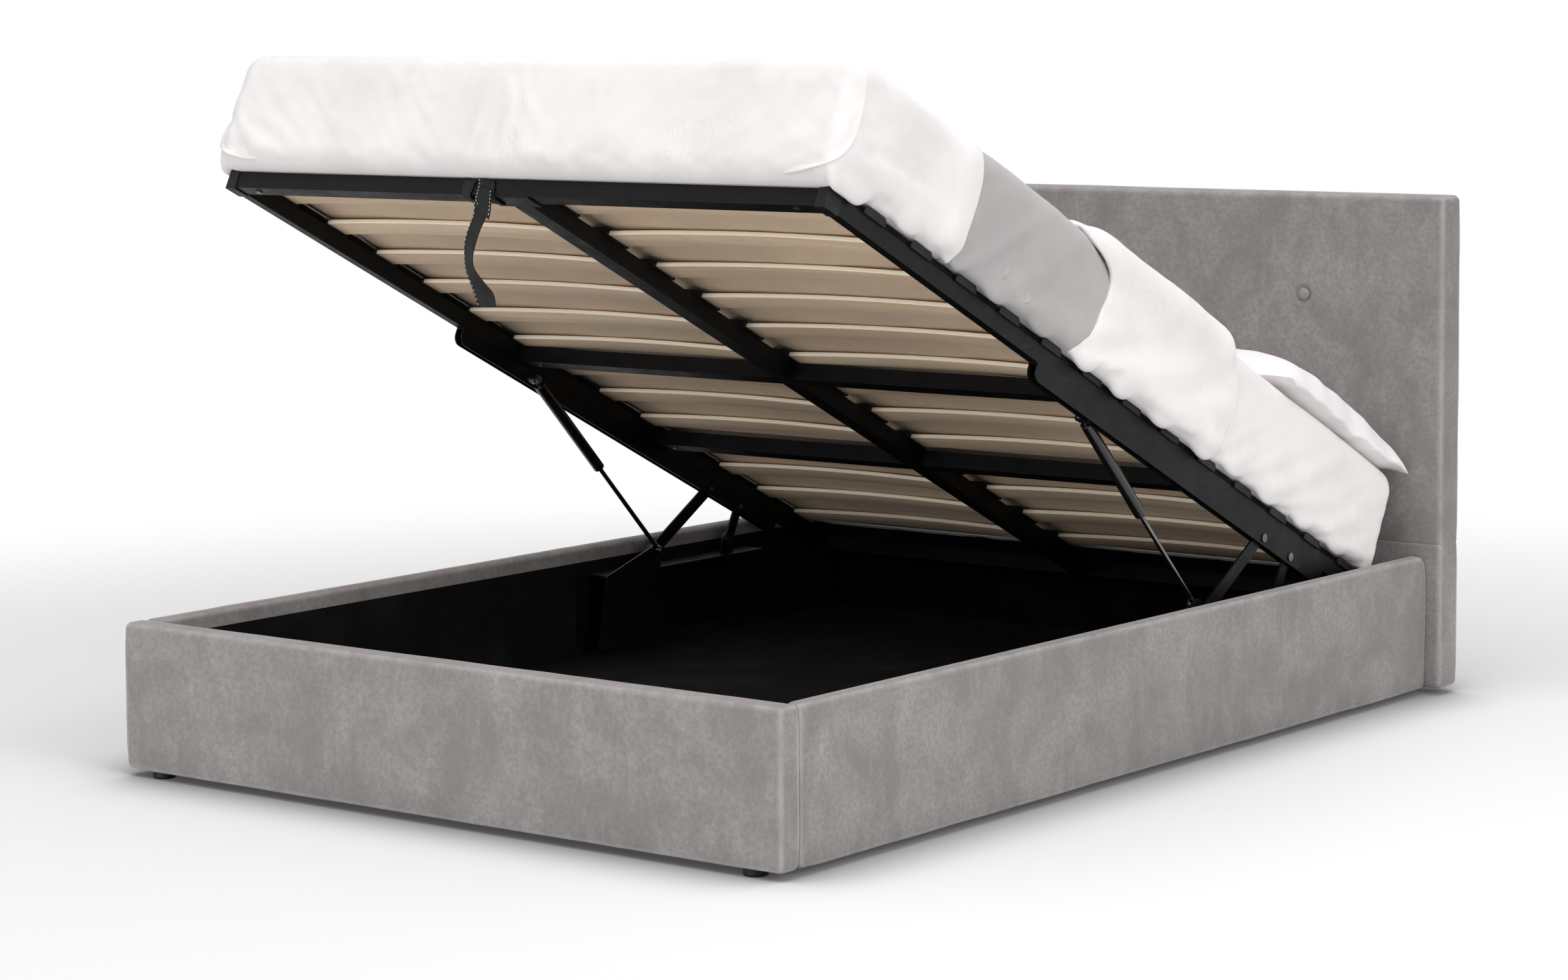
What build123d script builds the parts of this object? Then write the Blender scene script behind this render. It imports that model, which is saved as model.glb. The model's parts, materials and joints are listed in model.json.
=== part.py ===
from build123d import *
import os
from math import atan2, cos, degrees, hypot, radians, sin

# Ottoman storage bed for a 135 x 190 cm mattress, in millimetres.
# X runs across the bed, +Y from the foot to the headboard, +Z up. The rest pose is the open, lifted one.
# The bed box is drawn with Y from the foot panel's front face and Z from the panels' underside.
# The lifting platform is drawn lying flat, with Y from its foot edge and Z from its underside, then tilted.

# Bed box
bed_width = 1450.0
box_length = 2030.0
panel_height = 258.0
foot_thickness = 47.0
side_thickness = 32.0
panel_edge_radius = 7.0
panel_end_radius = 22.0
glide_height = 12.0
glide_radius = 20.0
glide_inset = 70.0
glide_edge = 3.0

# Headboard
headboard_overhang = 31.0
headboard_height = 951.0
headboard_thickness = 71.5
headboard_seam_height = 281.0
headboard_edge_radius = 12.0
back_cloth_thickness = 1.5
back_cloth_inset = 12.0
button_radius = 13.0
button_height = 6.0
button_spacing = 450.0
button_drop = 198.0
button_count = 3
button_rim = 2.5

# Inside of the box
lining_thickness = 2.0
lining_top_margin = 30.0
floor_board_thickness = 9.0
floor_board_height = 30.0
floor_board_gap = 2.0
floor_cut_margin = 1.0
batten_width = 22.0
centre_beam_width = 40.0
centre_beam_wall = 2.0
beam_foot_radius = 18.0
beam_foot_inset = 420.0
corner_bracket_leg = 34.0
corner_bracket_wall = 3.0
corner_bracket_height = 150.0
corner_bracket_lift = 25.0
bolt_head_radius = 7.0
bolt_head_height = 4.0
bolt_end_margin = 32.0

# Lifting platform: steel frame
frame_side_gap = 33.0
frame_shortfall = 100.0
rail_width = 20.0
rail_height = 30.0
rail_wall = 1.5
end_rail_width = 30.0
cross_bar_width = 30.0
cross_bar_front_from_head = 1108.0
cross_bar_rear_from_head = 661.0
centre_rail_width = 40.0
centre_plate_length = 38.0
centre_plate_width = 90.0
centre_plate_thickness = 2.5
corner_cap_wall = 2.5
corner_cap_length = 36.0
corner_cap_edge = 2.0
frame_bolt_radius = 6.0
frame_bolt_height = 2.5
frame_bolt_inset = 45.0

# Sprung slats and their holders
slat_width = 53.0
slat_thickness = 8.0
slat_crown = 8.0
slat_count = 13
first_slat_start = 97.5
last_slat_margin = 117.5
slat_fit = 0.4
holder_play = 2.2
holder_length = 62.0
holder_height = 14.0
holder_reach = 26.0
holder_overhang = 4.0
holder_floor = 2.0
holder_chamfer = 5.0
holder_ramp = 9.0

# Open and closed places of the platform's head end, from the headboard and the top of the box, and its
# tilt when open
open_tilt = 26.0
open_head_gap = 89.83
open_head_depth = 95.06
closed_head_gap = 21.5
closed_depth = 6.0

# Lift mechanism, placed from the head ends of the frame and of the box, and from the top of the box
arm_start_from_head = 1274.0
arm_end_from_head = 214.0
arm_width = 18.0
arm_depth = 30.0
arm_wall = 2.5
arm_nose_radius = 18.0
plate_thickness = 4.0
layer_gap = 0.6
joint_gap = 0.3
link_width = 26.0
rear_link_width = 24.0
pin_radius = 5.0
pin_clearance = 0.05
pin_head_radius = 8.0
pin_head_height = 2.6
lift_pin_from_head = 445.0
lift_pin_below = 16.5
rear_pin_from_head = 340.0
front_pivot_from_head = 680.0
rear_pivot_from_head = 435.3
rear_pivot_depth = 27.2
rear_link_length = 73.5
rear_link_lag = 1.7
open_pivot_play = 2.5
bracket_front_from_head = 865.0
bracket_back_from_head = 340.0
bracket_bottom = 60.0
bracket_top_depth = 54.0
bracket_ear_radius = 14.0
strut_ear_radius = 11.0
bracket_screw_radius = 5.0
bracket_screw_height = 2.2
bracket_screw_margin = 28.0

# Gas struts
strut_offset = 32.0
strut_pin_from_head = 1061.0
strut_pin_below = 18.7
strut_pivot_from_head = 685.0
strut_pivot_depth = 18.0
strut_radius = 11.0
strut_wall = 1.4
strut_length = 265.0
strut_neck = 16.0
strut_guide_length = 12.0
rod_radius = 4.5
rod_clearance = 0.08
rod_inserted = 30.0
piston_radius = 9.4
piston_length = 10.0
eye_radius = 9.5
eye_thickness = 10.0
stud_radius = 4.0
stud_nut_radius = 8.0
stud_nut_height = 6.0
stud_collar_radius = 7.5
neck_margin = 0.2

# Pull strap: two turns round the foot rail, and a tail that swings on a rolled end below them
strap_x = -78.0
strap_width = 34.0
strap_thickness = 2.2
strap_drop = 178.0
strap_gap = 0.4
strap_bow = 9.0
strap_roll_radius = 2.6
strap_roll_along = 6.0
strap_turn_width = 24.0
strap_turn_spread = 27.0

# Mattress and bedding, which lie on the slats
mattress_overhang = 17.0
mattress_start = -30.0
mattress_head_gap = 60.0
mattress_height = 195.0
mattress_corner_radius = 60.0
mattress_edge_radius = 28.0
cover_gap = 0.4
sheet_thickness = 6.0
sheet_crown = 2.0
sheet_foot_drop = 12.0
sheet_foot_end = 322.0
sheet_head_from_head = 715.0
cover_drop = 40.0
throw_thickness = 9.0
throw_end = 725.0
throw_crown = 16.0
duvet_thickness = 12.0
duvet_top_thickness = 24.0
duvet_crown = 46.0
cover_corner_radius = 34.0
pillow_overhang = 22.0
pillow_gap = 14.0
pillow_depth = 500.0
pillow_height = 104.0
pillow_seam_share = 0.46
pillow_base_share = 0.80
pillow_shoulder_share = 0.90
pillow_crown_share = 0.42
pillow_corner_share = 0.16
pillow_waist_share = 0.94
pillow_head_gap = 50.0

cut_margin = 1.0

# What follows from the sizes above
side_inner = bed_width / 2 - side_thickness
headboard_width = bed_width + 2 * headboard_overhang
overall_length = box_length + headboard_thickness + back_cloth_thickness
floor_top = floor_board_height + floor_board_thickness
lining_top = panel_height - lining_top_margin

frame_half_width = side_inner - lining_thickness - frame_side_gap
frame_length = box_length - frame_shortfall
cross_bar_front_start = frame_length - cross_bar_front_from_head
cross_bar_rear_start = frame_length - cross_bar_rear_from_head
slat_pitch = (frame_length - first_slat_start - slat_width - last_slat_margin) / (slat_count - 1)
open_edge_y = box_length - open_head_gap - frame_length * cos(radians(open_tilt))
open_edge_z = panel_height - open_head_depth + frame_length * sin(radians(open_tilt))
closed_edge_y = box_length - closed_head_gap - frame_length
closed_edge_z = panel_height - closed_depth

arm_start = frame_length - arm_start_from_head
arm_end = frame_length - arm_end_from_head
lift_pin_along = frame_length - lift_pin_from_head
rear_pin_along = frame_length - rear_pin_from_head
strut_pin_along = frame_length - strut_pin_from_head
front_pivot_y = box_length - front_pivot_from_head
rear_pivot_y = box_length - rear_pivot_from_head
rear_pivot_z = panel_height - rear_pivot_depth
strut_pivot_y = box_length - strut_pivot_from_head
strut_pivot_z = panel_height - strut_pivot_depth
bracket_front = box_length - bracket_front_from_head
bracket_back = box_length - bracket_back_from_head
bracket_back_top = panel_height - bracket_top_depth
bracket_shelf_z = bracket_back_top - plate_thickness
arm_outer_inside = frame_half_width - arm_wall
outer_ear_x = arm_outer_inside - layer_gap - plate_thickness
link_x = outer_ear_x - layer_gap - plate_thickness
strut_x = frame_half_width - strut_offset
strap_roll_below = strap_gap + strap_thickness + strap_gap + strap_roll_radius
inner_ear_x = strut_x + eye_thickness / 2 + joint_gap
neck_radius = eye_thickness / 2 - neck_margin
holder_start_x = frame_half_width + holder_overhang - holder_reach
slat_rest = rail_height + holder_floor
mattress_seat = slat_rest + slat_fit + slat_thickness + slat_crown + joint_gap
mattress_top = mattress_seat + mattress_height
mattress_half_width = frame_half_width + mattress_overhang
mattress_length = frame_length - mattress_head_gap - mattress_start
sheet_head_start = frame_length - sheet_head_from_head
pillow_length = mattress_half_width + pillow_overhang - pillow_gap / 2
pillow_spacing = pillow_length + pillow_gap
pillow_end = frame_length - pillow_head_gap


def turn(point, angle):
    """A point (y, z) turned about the origin, from +Y towards +Z, by an angle in degrees."""
    c = cos(radians(angle))
    s = sin(radians(angle))
    return (point[0] * c - point[1] * s, point[0] * s + point[1] * c)


def on_platform(along, above):
    """Where a point of the flat platform lies in the bed box when the platform is open."""
    y, z = turn((along, above), -open_tilt)
    return (open_edge_y + y, open_edge_z + z)


def when_closed(along, above):
    """Where the same point lies when the platform is closed."""
    return (closed_edge_y + along, closed_edge_z + above)


def direction(start, end):
    """The angle of the line from start to end, in degrees from +Y towards +Z."""
    return degrees(atan2(end[1] - start[1], end[0] - start[0]))


def distance(start, end):
    return hypot(end[0] - start[0], end[1] - start[1])


# The front link's upper pin in both poses, and its fixed pivot, which is as far from one as from the other
lift_pin = on_platform(lift_pin_along, -lift_pin_below)
lift_pin_closed = when_closed(lift_pin_along, -lift_pin_below)
pin_middle = ((lift_pin[0] + lift_pin_closed[0]) / 2, (lift_pin[1] + lift_pin_closed[1]) / 2)
pin_step = (lift_pin_closed[0] - lift_pin[0], lift_pin_closed[1] - lift_pin[1])
front_pivot = (front_pivot_y, pin_middle[1] - (front_pivot_y - pin_middle[0]) * pin_step[0] / pin_step[1])
front_link_angle = direction(front_pivot, lift_pin)
front_link_length = distance(front_pivot, lift_pin)
front_link_travel = direction(front_pivot, lift_pin_closed) - front_link_angle
platform_travel = open_tilt - front_link_travel

# The rear link, which is opened at its upper pin
rear_pin = on_platform(rear_pin_along, -lift_pin_below)
rear_pin_closed = when_closed(rear_pin_along, -lift_pin_below)
rear_pivot = (rear_pivot_y, rear_pivot_z)
rear_link_angle = direction(rear_pivot, rear_pin) - rear_link_lag
rear_link_travel = direction(rear_pivot, rear_pin_closed) - direction(rear_pivot, rear_pin)

# The gas strut, which is opened at its lower pivot
strut_pin = on_platform(strut_pin_along, -strut_pin_below)
strut_pin_closed = when_closed(strut_pin_along, -strut_pin_below)
strut_pivot = (strut_pivot_y, strut_pivot_z)
strut_angle = direction(strut_pin, strut_pivot)
strut_open_length = distance(strut_pin, strut_pivot)
strut_closed_length = distance(strut_pin_closed, strut_pivot)
strut_turn = direction(strut_pin_closed, strut_pivot) - strut_angle

# The strap tail's rolled end, on which it swings
strap_roll = on_platform(strap_roll_along, -strap_roll_below)


def block(x0, x1, y0, y1, z0, z1):
    """A plain box between six faces."""
    return Pos((x0 + x1) / 2, (y0 + y1) / 2, (z0 + z1) / 2) * Box(x1 - x0, y1 - y0, z1 - z0)


def rounded_block(x0, x1, y0, y1, z0, z1, radius):
    """A box with every edge rounded."""
    solid = block(x0, x1, y0, y1, z0, z1)
    return fillet(solid.edges(), radius)


def side_plate(face, x0, x1):
    """A flat plate cut to an outline drawn in Y and Z, between two places across the bed."""
    return extrude(Plane.YZ.offset(x0) * face, amount=x1 - x0)


def cross_pin(point, x0, x1, radius):
    """A round pin along X at a point (y, z)."""
    return side_plate(Pos(*point) * Circle(radius), x0, x1)


def tube_along(x0, x1, y0, y1, z0, z1, axis, wall):
    """A rectangular steel tube, open at the ends of its axis."""
    outer = block(x0, x1, y0, y1, z0, z1)
    if axis == Axis.X:
        return outer - block(x0 - cut_margin, x1 + cut_margin, y0 + wall, y1 - wall, z0 + wall, z1 - wall)
    return outer - block(x0 + wall, x1 - wall, y0 - cut_margin, y1 + cut_margin, z0 + wall, z1 - wall)


def both_sides(solid):
    """A piece of the right side and its mirror image, as one group."""
    return Compound(list(solid.solids()) + list(mirror(solid, about=Plane.YZ).solids()))


def foot_panel():
    return rounded_block(
        -bed_width / 2, bed_width / 2, 0, foot_thickness, 0, panel_height, panel_edge_radius
    )


def side_panel():
    """Right side panel, its upper head-end corner rounded as seen from the side."""
    length = box_length - foot_thickness
    outline = Pos(foot_thickness + length / 2, panel_height / 2) * Rectangle(length, panel_height)
    corner = outline.vertices().sort_by(Axis.Y)[-2:].sort_by(Axis.X)[-1]
    outline = fillet(corner, panel_end_radius)
    panel = side_plate(outline, side_inner, bed_width / 2)
    long_edges = panel.edges().filter_by(Axis.Y)
    return fillet(long_edges, panel_edge_radius)


def headboard_board(z0, z1):
    return rounded_block(
        -headboard_width / 2,
        headboard_width / 2,
        box_length,
        box_length + headboard_thickness,
        z0,
        z1,
        headboard_edge_radius,
    )


def headboard_upper():
    """The padded upper board, with a dimple under each button."""
    board = headboard_board(headboard_seam_height, headboard_height)
    for x in button_places():
        seat = Pos(x, box_length, headboard_height - button_drop) * Rot(90, 0, 0)
        board -= seat * Cylinder(button_radius + cut_margin, button_height)
    return board


def button_places():
    first = -button_spacing * (button_count - 1) / 2
    return [first + button_spacing * i for i in range(button_count)]


def buttons():
    """Covered buttons, domed, seated in the dimples of the upper board."""
    button = Cylinder(button_radius, button_height)
    button = fillet(button.edges().group_by(Axis.Z)[-1], button_rim)
    solids = []
    for x in button_places():
        place = Pos(x, box_length, headboard_height - button_drop) * Rot(90, 0, 0)
        solids.append((place * button).solid())
    return Compound(solids)


def back_cloth():
    y0 = box_length + headboard_thickness
    half = headboard_width / 2 - back_cloth_inset
    z1 = headboard_height - back_cloth_inset
    return block(-half, half, y0, y0 + back_cloth_thickness, back_cloth_inset, z1)


def glides():
    """Round black glides under the foot panel, the side panels and the headboard."""
    glide = Pos(0, 0, -glide_height / 2) * Cylinder(glide_radius, glide_height)
    glide = fillet(glide.edges().group_by(Axis.Z)[0], glide_edge)
    x = bed_width / 2 - glide_inset
    foot_y = foot_thickness / 2 + cut_margin
    head_y = box_length + headboard_thickness / 2
    places = [(x, foot_y), (x, head_y)]
    corner_glides = [(Pos(px, py, 0) * glide).solid() for px, py in places]
    return both_sides(Compound(corner_glides))


def side_lining():
    """Black lining of the right side panel, up to the wrapped edge of the upholstery."""
    return block(
        side_inner - lining_thickness,
        side_inner,
        foot_thickness + lining_thickness,
        box_length - lining_thickness,
        floor_top,
        lining_top,
    )


def end_lining(y0):
    return block(-side_inner, side_inner, y0, y0 + lining_thickness, floor_top, lining_top)


def floor_board(y0, y1):
    half = side_inner - floor_board_gap
    return block(-half, half, y0, y1, floor_board_height, floor_top)


def floor_batten():
    """Right batten that carries the floor boards."""
    return block(
        side_inner - batten_width,
        side_inner,
        foot_thickness + corner_bracket_leg,
        box_length - corner_bracket_leg,
        0,
        floor_board_height,
    )


def centre_beam():
    """Steel beam under the floor boards, from the foot panel to the headboard."""
    half = centre_beam_width / 2
    return tube_along(
        -half, half, foot_thickness, box_length, 0, floor_board_height, Axis.Y, centre_beam_wall
    )


def beam_feet():
    foot = Pos(0, 0, -glide_height / 2) * Cylinder(beam_foot_radius, glide_height)
    foot = fillet(foot.edges().group_by(Axis.Z)[0], glide_edge)
    middle = (foot_thickness + box_length) / 2
    places = [middle - beam_foot_inset, middle + beam_foot_inset]
    return Compound([(Pos(0, y, 0) * foot).solid() for y in places])


def corner_bracket(y, inward):
    """Steel angle in a right corner of the box, on the lining. inward is the sign of Y into the box."""
    x = side_inner - lining_thickness
    z0 = floor_top + corner_bracket_lift
    z1 = z0 + corner_bracket_height
    y_leg = y + inward * corner_bracket_leg
    y_wall = y + inward * corner_bracket_wall
    leg_side = block(x - corner_bracket_wall, x, min(y, y_leg), max(y, y_leg), z0, z1)
    leg_end = block(x - corner_bracket_leg, x, min(y, y_wall), max(y, y_wall), z0, z1)
    return leg_side + leg_end


def corner_brackets():
    foot = corner_bracket(foot_thickness + lining_thickness, 1)
    head = corner_bracket(box_length - lining_thickness, -1)
    return both_sides(Compound([foot.solid(), head.solid()]))


def corner_bolts():
    """Bolt heads on the side legs of the corner brackets."""
    x = side_inner - lining_thickness - corner_bracket_wall
    z0 = floor_top + corner_bracket_lift + bolt_end_margin
    z1 = floor_top + corner_bracket_lift + corner_bracket_height - bolt_end_margin
    reach = (corner_bracket_leg + corner_bracket_wall) / 2
    solids = []
    for y in (foot_thickness + lining_thickness + reach, box_length - lining_thickness - reach):
        for z in (z0, z1):
            solids.append(cross_pin((y, z), x - bolt_head_height, x, bolt_head_radius).solid())
    return both_sides(Compound(solids))


def base_bracket():
    """Right fixed bracket: a back plate on the side panel, a shelf, and two ears for the pivots."""
    lining_face = side_inner - lining_thickness
    back = block(
        lining_face - plate_thickness,
        lining_face,
        bracket_front,
        bracket_back,
        bracket_bottom,
        bracket_back_top,
    )
    shelf = block(
        inner_ear_x,
        lining_face,
        bracket_front + bracket_screw_margin,
        bracket_back,
        bracket_shelf_z,
        bracket_back_top,
    )
    shelf_start = (bracket_front + bracket_screw_margin, bracket_shelf_z)
    ear_low = (bracket_front, bracket_bottom)
    tip = Pos(*strut_pivot) * Circle(strut_ear_radius)
    root = Pos(strut_pivot_y, bracket_shelf_z) * Circle(strut_ear_radius)
    inner_outline = make_hull(
        (Sketch() + [tip, root, Pos(*shelf_start) * Circle(plate_thickness)]).edges()
    )
    lower = make_face(
        Polyline(
            shelf_start,
            (strut_pivot_y + strut_ear_radius, bracket_shelf_z),
            (strut_pivot_y + strut_ear_radius, bracket_bottom),
            ear_low,
            close=True,
        )
    )
    inner_ear = side_plate(inner_outline + lower, inner_ear_x, inner_ear_x + plate_thickness)
    front_ear = link_ear(front_pivot)
    rear_ear = link_ear(rear_pivot)
    ears = side_plate(front_ear, outer_ear_x, outer_ear_x + plate_thickness)
    ears += side_plate(rear_ear, outer_ear_x, outer_ear_x + plate_thickness)
    boss_x = inner_ear_x + plate_thickness + pin_head_height
    boss = cross_pin(strut_pivot, inner_ear_x, boss_x, stud_collar_radius)
    return back + shelf + inner_ear + ears + boss


def link_ear(pivot):
    """Outline of an ear that stands on the shelf and holds one link's pivot."""
    top = Pos(*pivot) * Circle(bracket_ear_radius)
    front_root = Pos(pivot[0] - bracket_ear_radius, bracket_shelf_z + pin_radius) * Circle(pin_radius)
    rear_root = Pos(pivot[0] + bracket_ear_radius, bracket_shelf_z + pin_radius) * Circle(pin_radius)
    outline = make_hull((Sketch() + [top, front_root, rear_root]).edges())
    return outline - Pos(*pivot) * Circle(pin_radius)


def base_pivot_bolts():
    """The pins of both links in the ears of the base brackets, with their heads."""
    solids = []
    for pivot in (front_pivot, rear_pivot):
        pin = cross_pin(pivot, link_x - joint_gap, outer_ear_x + plate_thickness, pin_radius)
        pin += cross_pin(pivot, link_x - joint_gap - pin_head_height, link_x - joint_gap, pin_head_radius)
        solids.append(pin.solid())
    return both_sides(Compound(solids))


def bracket_screws():
    """Screws that hold the back plates to the side panels, on the inboard face."""
    x = side_inner - lining_thickness - plate_thickness
    z0 = bracket_bottom + bracket_screw_margin
    z1 = bracket_shelf_z - bracket_screw_margin
    y0 = bracket_front + bracket_screw_margin
    y1 = bracket_back - bracket_screw_margin
    places = [(y, z) for y in (y0, (y0 + y1) / 2, y1) for z in (z0, z1)]
    solids = [
        cross_pin(place, x - bracket_screw_height, x, bracket_screw_radius).solid() for place in places
    ]
    return both_sides(Compound(solids))


def link(pivot, angle, length, width, far_hole):
    """A flat link with round ends, from its pivot at an angle, with a free hole at each pin."""
    middle = turn((length / 2, 0), angle)
    place = Pos(pivot[0] + middle[0], pivot[1] + middle[1]) * Rot(0, 0, angle)
    outline = place * SlotCenterToCenter(length, width)
    outline -= place * Pos(-length / 2, 0) * Circle(pin_radius + pin_clearance)
    outline -= place * Pos(length / 2, 0) * Circle(far_hole)
    return side_plate(outline, link_x, link_x + plate_thickness)


def front_link():
    return link(
        front_pivot, front_link_angle, front_link_length, link_width, pin_radius + pin_clearance
    )


def rear_link():
    return link(
        rear_pivot, rear_link_angle, rear_link_length, rear_link_width, pin_radius + open_pivot_play
    )


def along_strut(solid):
    """Puts a piece drawn along +X from the strut's upper pin into place on the right strut."""
    pose = Plane(
        origin=(strut_x, strut_pin[0], strut_pin[1]),
        x_dir=(0, cos(radians(strut_angle)), sin(radians(strut_angle))),
        z_dir=(1, 0, 0),
    )
    return pose * solid


def strut_eye(place):
    """Round end fitting of a strut: a flat eye about the pin, at a place along the strut."""
    return Pos(place, 0, 0) * Cylinder(eye_radius, eye_thickness)


def lying_cylinder(start, end, radius):
    """A cylinder along +X."""
    return Pos((start + end) / 2, 0, 0) * Rot(0, 90, 0) * Cylinder(radius, end - start)


def strut_cylinder():
    """The strut's pressure tube with its upper eye and its lower rod guide, drawn along +X."""
    neck_start = eye_radius - stud_radius / 2
    body = lying_cylinder(strut_neck, strut_length, strut_radius)
    body = fillet(body.edges().filter_by(GeomType.CIRCLE), strut_wall)
    bore_start = strut_neck + strut_guide_length
    bore_end = strut_length - strut_guide_length
    body -= lying_cylinder(bore_start, bore_end, strut_radius - strut_wall)
    body -= lying_cylinder(bore_end - cut_margin, strut_length + cut_margin, rod_radius + rod_clearance)
    neck = lying_cylinder(neck_start, strut_neck + cut_margin, neck_radius)
    solid = body + neck + strut_eye(0)
    solid -= Cylinder(stud_radius + pin_clearance, eye_thickness + cut_margin)
    return along_strut(solid)


def strut_rod():
    """The strut's rod with its piston and its lower end fitting, drawn along +X."""
    rod_start = strut_length - strut_guide_length - rod_inserted
    rod = lying_cylinder(rod_start, strut_open_length, rod_radius)
    rod += lying_cylinder(rod_start, rod_start + piston_length, piston_radius)
    rod += lying_cylinder(strut_open_length - strut_neck - eye_radius / 2, strut_open_length, neck_radius)
    rod += strut_eye(strut_open_length)
    return along_strut(rod)


def strut_end_bolts():
    """Bright bolt heads on the inboard side of the rods' lower end fittings."""
    x = strut_x - eye_thickness / 2
    head = side_plate(
        Pos(*strut_pivot) * RegularPolygon(stud_nut_radius, 6), x - stud_nut_height, x
    )
    return both_sides(head)


def lift_pins():
    """Pins of the links in the lift arms, and the studs and nuts that hold the struts."""
    solids = []
    for pin_place in (lift_pin, rear_pin):
        pin = cross_pin(pin_place, frame_half_width - arm_width, frame_half_width, pin_radius)
        pin += cross_pin(
            pin_place, frame_half_width, frame_half_width + pin_head_height, pin_head_radius
        )
        solids.append(pin.solid())
    eye_in = strut_x - eye_thickness / 2
    eye_out = strut_x + eye_thickness / 2
    arm_in = frame_half_width - arm_width
    stud = cross_pin(strut_pin, eye_in - stud_nut_height, arm_in + arm_wall, stud_radius)
    stud += cross_pin(strut_pin, eye_out + joint_gap, arm_in, stud_collar_radius)
    stud += side_plate(
        Pos(*strut_pin) * RegularPolygon(stud_nut_radius, 6),
        eye_in - joint_gap - stud_nut_height,
        eye_in - joint_gap,
    )
    stud += cross_pin(
        strut_pin, arm_in + arm_wall, arm_in + arm_wall + pin_head_height, stud_nut_radius
    )
    solids.append(stud.solid())
    return both_sides(Compound(solids))


def side_rail():
    """Right side rail, a tube between the corner caps."""
    return tube_along(
        frame_half_width - rail_width,
        frame_half_width,
        0,
        frame_length,
        0,
        rail_height,
        Axis.Y,
        rail_wall,
    )


def end_rail(start):
    half = frame_half_width - rail_width
    return tube_along(-half, half, start, start + end_rail_width, 0, rail_height, Axis.X, rail_wall)


def centre_rail():
    """Centre rail between the end rails."""
    half = centre_rail_width / 2
    return tube_along(
        -half, half, end_rail_width, frame_length - end_rail_width, 0, rail_height, Axis.Y, rail_wall
    )


def centre_plate():
    """Small flat plate under the foot rail that joins the centre rail to it."""
    half = centre_plate_width / 2
    return block(-half, half, 0, centre_plate_length, -centre_plate_thickness, 0)


def cross_bar(start):
    """A bar across the platform, in two lengths that meet the centre rail."""
    half = frame_half_width - rail_width
    right = tube_along(
        centre_rail_width / 2, half, start, start + cross_bar_width, 0, rail_height, Axis.X, rail_wall
    )
    return both_sides(right)


def corner_caps():
    """Moulded caps over the four corners of the frame, right side drawn and mirrored."""
    x0 = frame_half_width - rail_width
    x1 = frame_half_width + corner_cap_wall
    solids = []
    for y0, y1 in (
        (-corner_cap_wall, corner_cap_length),
        (frame_length - corner_cap_length, frame_length + corner_cap_wall),
    ):
        cap = block(x0, x1, y0, y1, -corner_cap_wall, rail_height + corner_cap_wall)
        cap = fillet(cap.edges().filter_by(Axis.Z), corner_cap_edge)
        cut_y0 = 0 if y0 < 0 else y0 - cut_margin
        cut_y1 = frame_length if y1 > frame_length else y1 + cut_margin
        cap -= block(x0 - cut_margin, frame_half_width, cut_y0, cut_y1, 0, rail_height)
        solids.append(cap.solid())
    return both_sides(Compound(solids))


def frame_bolts():
    """Bolt heads under the frame, where the bars and the lift arms are joined."""
    x = frame_half_width - rail_width - frame_bolt_inset
    middles = [
        end_rail_width / 2,
        cross_bar_front_start + cross_bar_width / 2,
        cross_bar_rear_start + cross_bar_width / 2,
    ]
    solids = []
    for y in middles:
        head = Pos(x, y, -frame_bolt_height / 2) * Cylinder(frame_bolt_radius, frame_bolt_height)
        solids.append(head.solid())
    return both_sides(Compound(solids))


def slat_starts():
    return [first_slat_start + slat_pitch * i for i in range(slat_count)]


def slat(start):
    """One sprung slat of the right column: bowed upwards between its two holders."""
    x0 = centre_rail_width / 2 + slat_fit
    x1 = frame_half_width - rail_wall
    middle = (x0 + x1) / 2
    low = slat_rest + slat_fit
    high = low + slat_thickness
    outline = make_face(
        Curve()
        + [
            ThreePointArc((x0, low), (middle, low + slat_crown), (x1, low)),
            Line((x1, low), (x1, high)),
            ThreePointArc((x1, high), (middle, high + slat_crown), (x0, high)),
            Line((x0, high), (x0, low)),
        ]
    )
    return Pos(0, start + slat_width, 0) * extrude(Plane.XZ * outline, amount=slat_width)


def slats():
    return Compound([slat(start).solid() for start in slat_starts()])


def outer_holder(start):
    """Holder cup on the right side rail: a ramped block with a pocket for the slat's end."""
    y0 = start + slat_width / 2 - holder_length / 2
    x0 = holder_start_x
    x1 = frame_half_width + holder_overhang
    top = rail_height + holder_height
    outline = make_face(
        Polyline(
            (y0, rail_height),
            (y0, top - holder_chamfer),
            (y0 + holder_ramp, top),
            (y0 + holder_length - holder_chamfer, top),
            (y0 + holder_length, top - holder_chamfer),
            (y0 + holder_length, rail_height),
            close=True,
        )
    )
    cup = side_plate(outline, x0, x1)
    pocket = block(
        x0 - cut_margin,
        frame_half_width,
        start - slat_fit,
        start + slat_width + slat_fit,
        slat_rest,
        slat_rest + slat_thickness + holder_play,
    )
    return cup - pocket


def outer_holders():
    return Compound([outer_holder(start).solid() for start in slat_starts()])


def centre_holder(start):
    """Double holder on the centre rail, with a pocket on each side."""
    y0 = start + slat_width / 2 - holder_length / 2
    y1 = y0 + holder_length
    half = holder_reach + slat_fit
    top = rail_height + holder_height
    cup = block(-half, half, y0, y1, rail_height, top)
    cup = chamfer(cup.edges().filter_by(Axis.Y).group_by(Axis.Z)[-1], holder_chamfer)
    right = block(
        centre_rail_width / 2,
        half + cut_margin,
        start - slat_fit,
        start + slat_width + slat_fit,
        slat_rest,
        slat_rest + slat_thickness + holder_play,
    )
    return cup - right - mirror(right, about=Plane.YZ)


def centre_holders():
    return Compound([centre_holder(start).solid() for start in slat_starts()])


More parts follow.
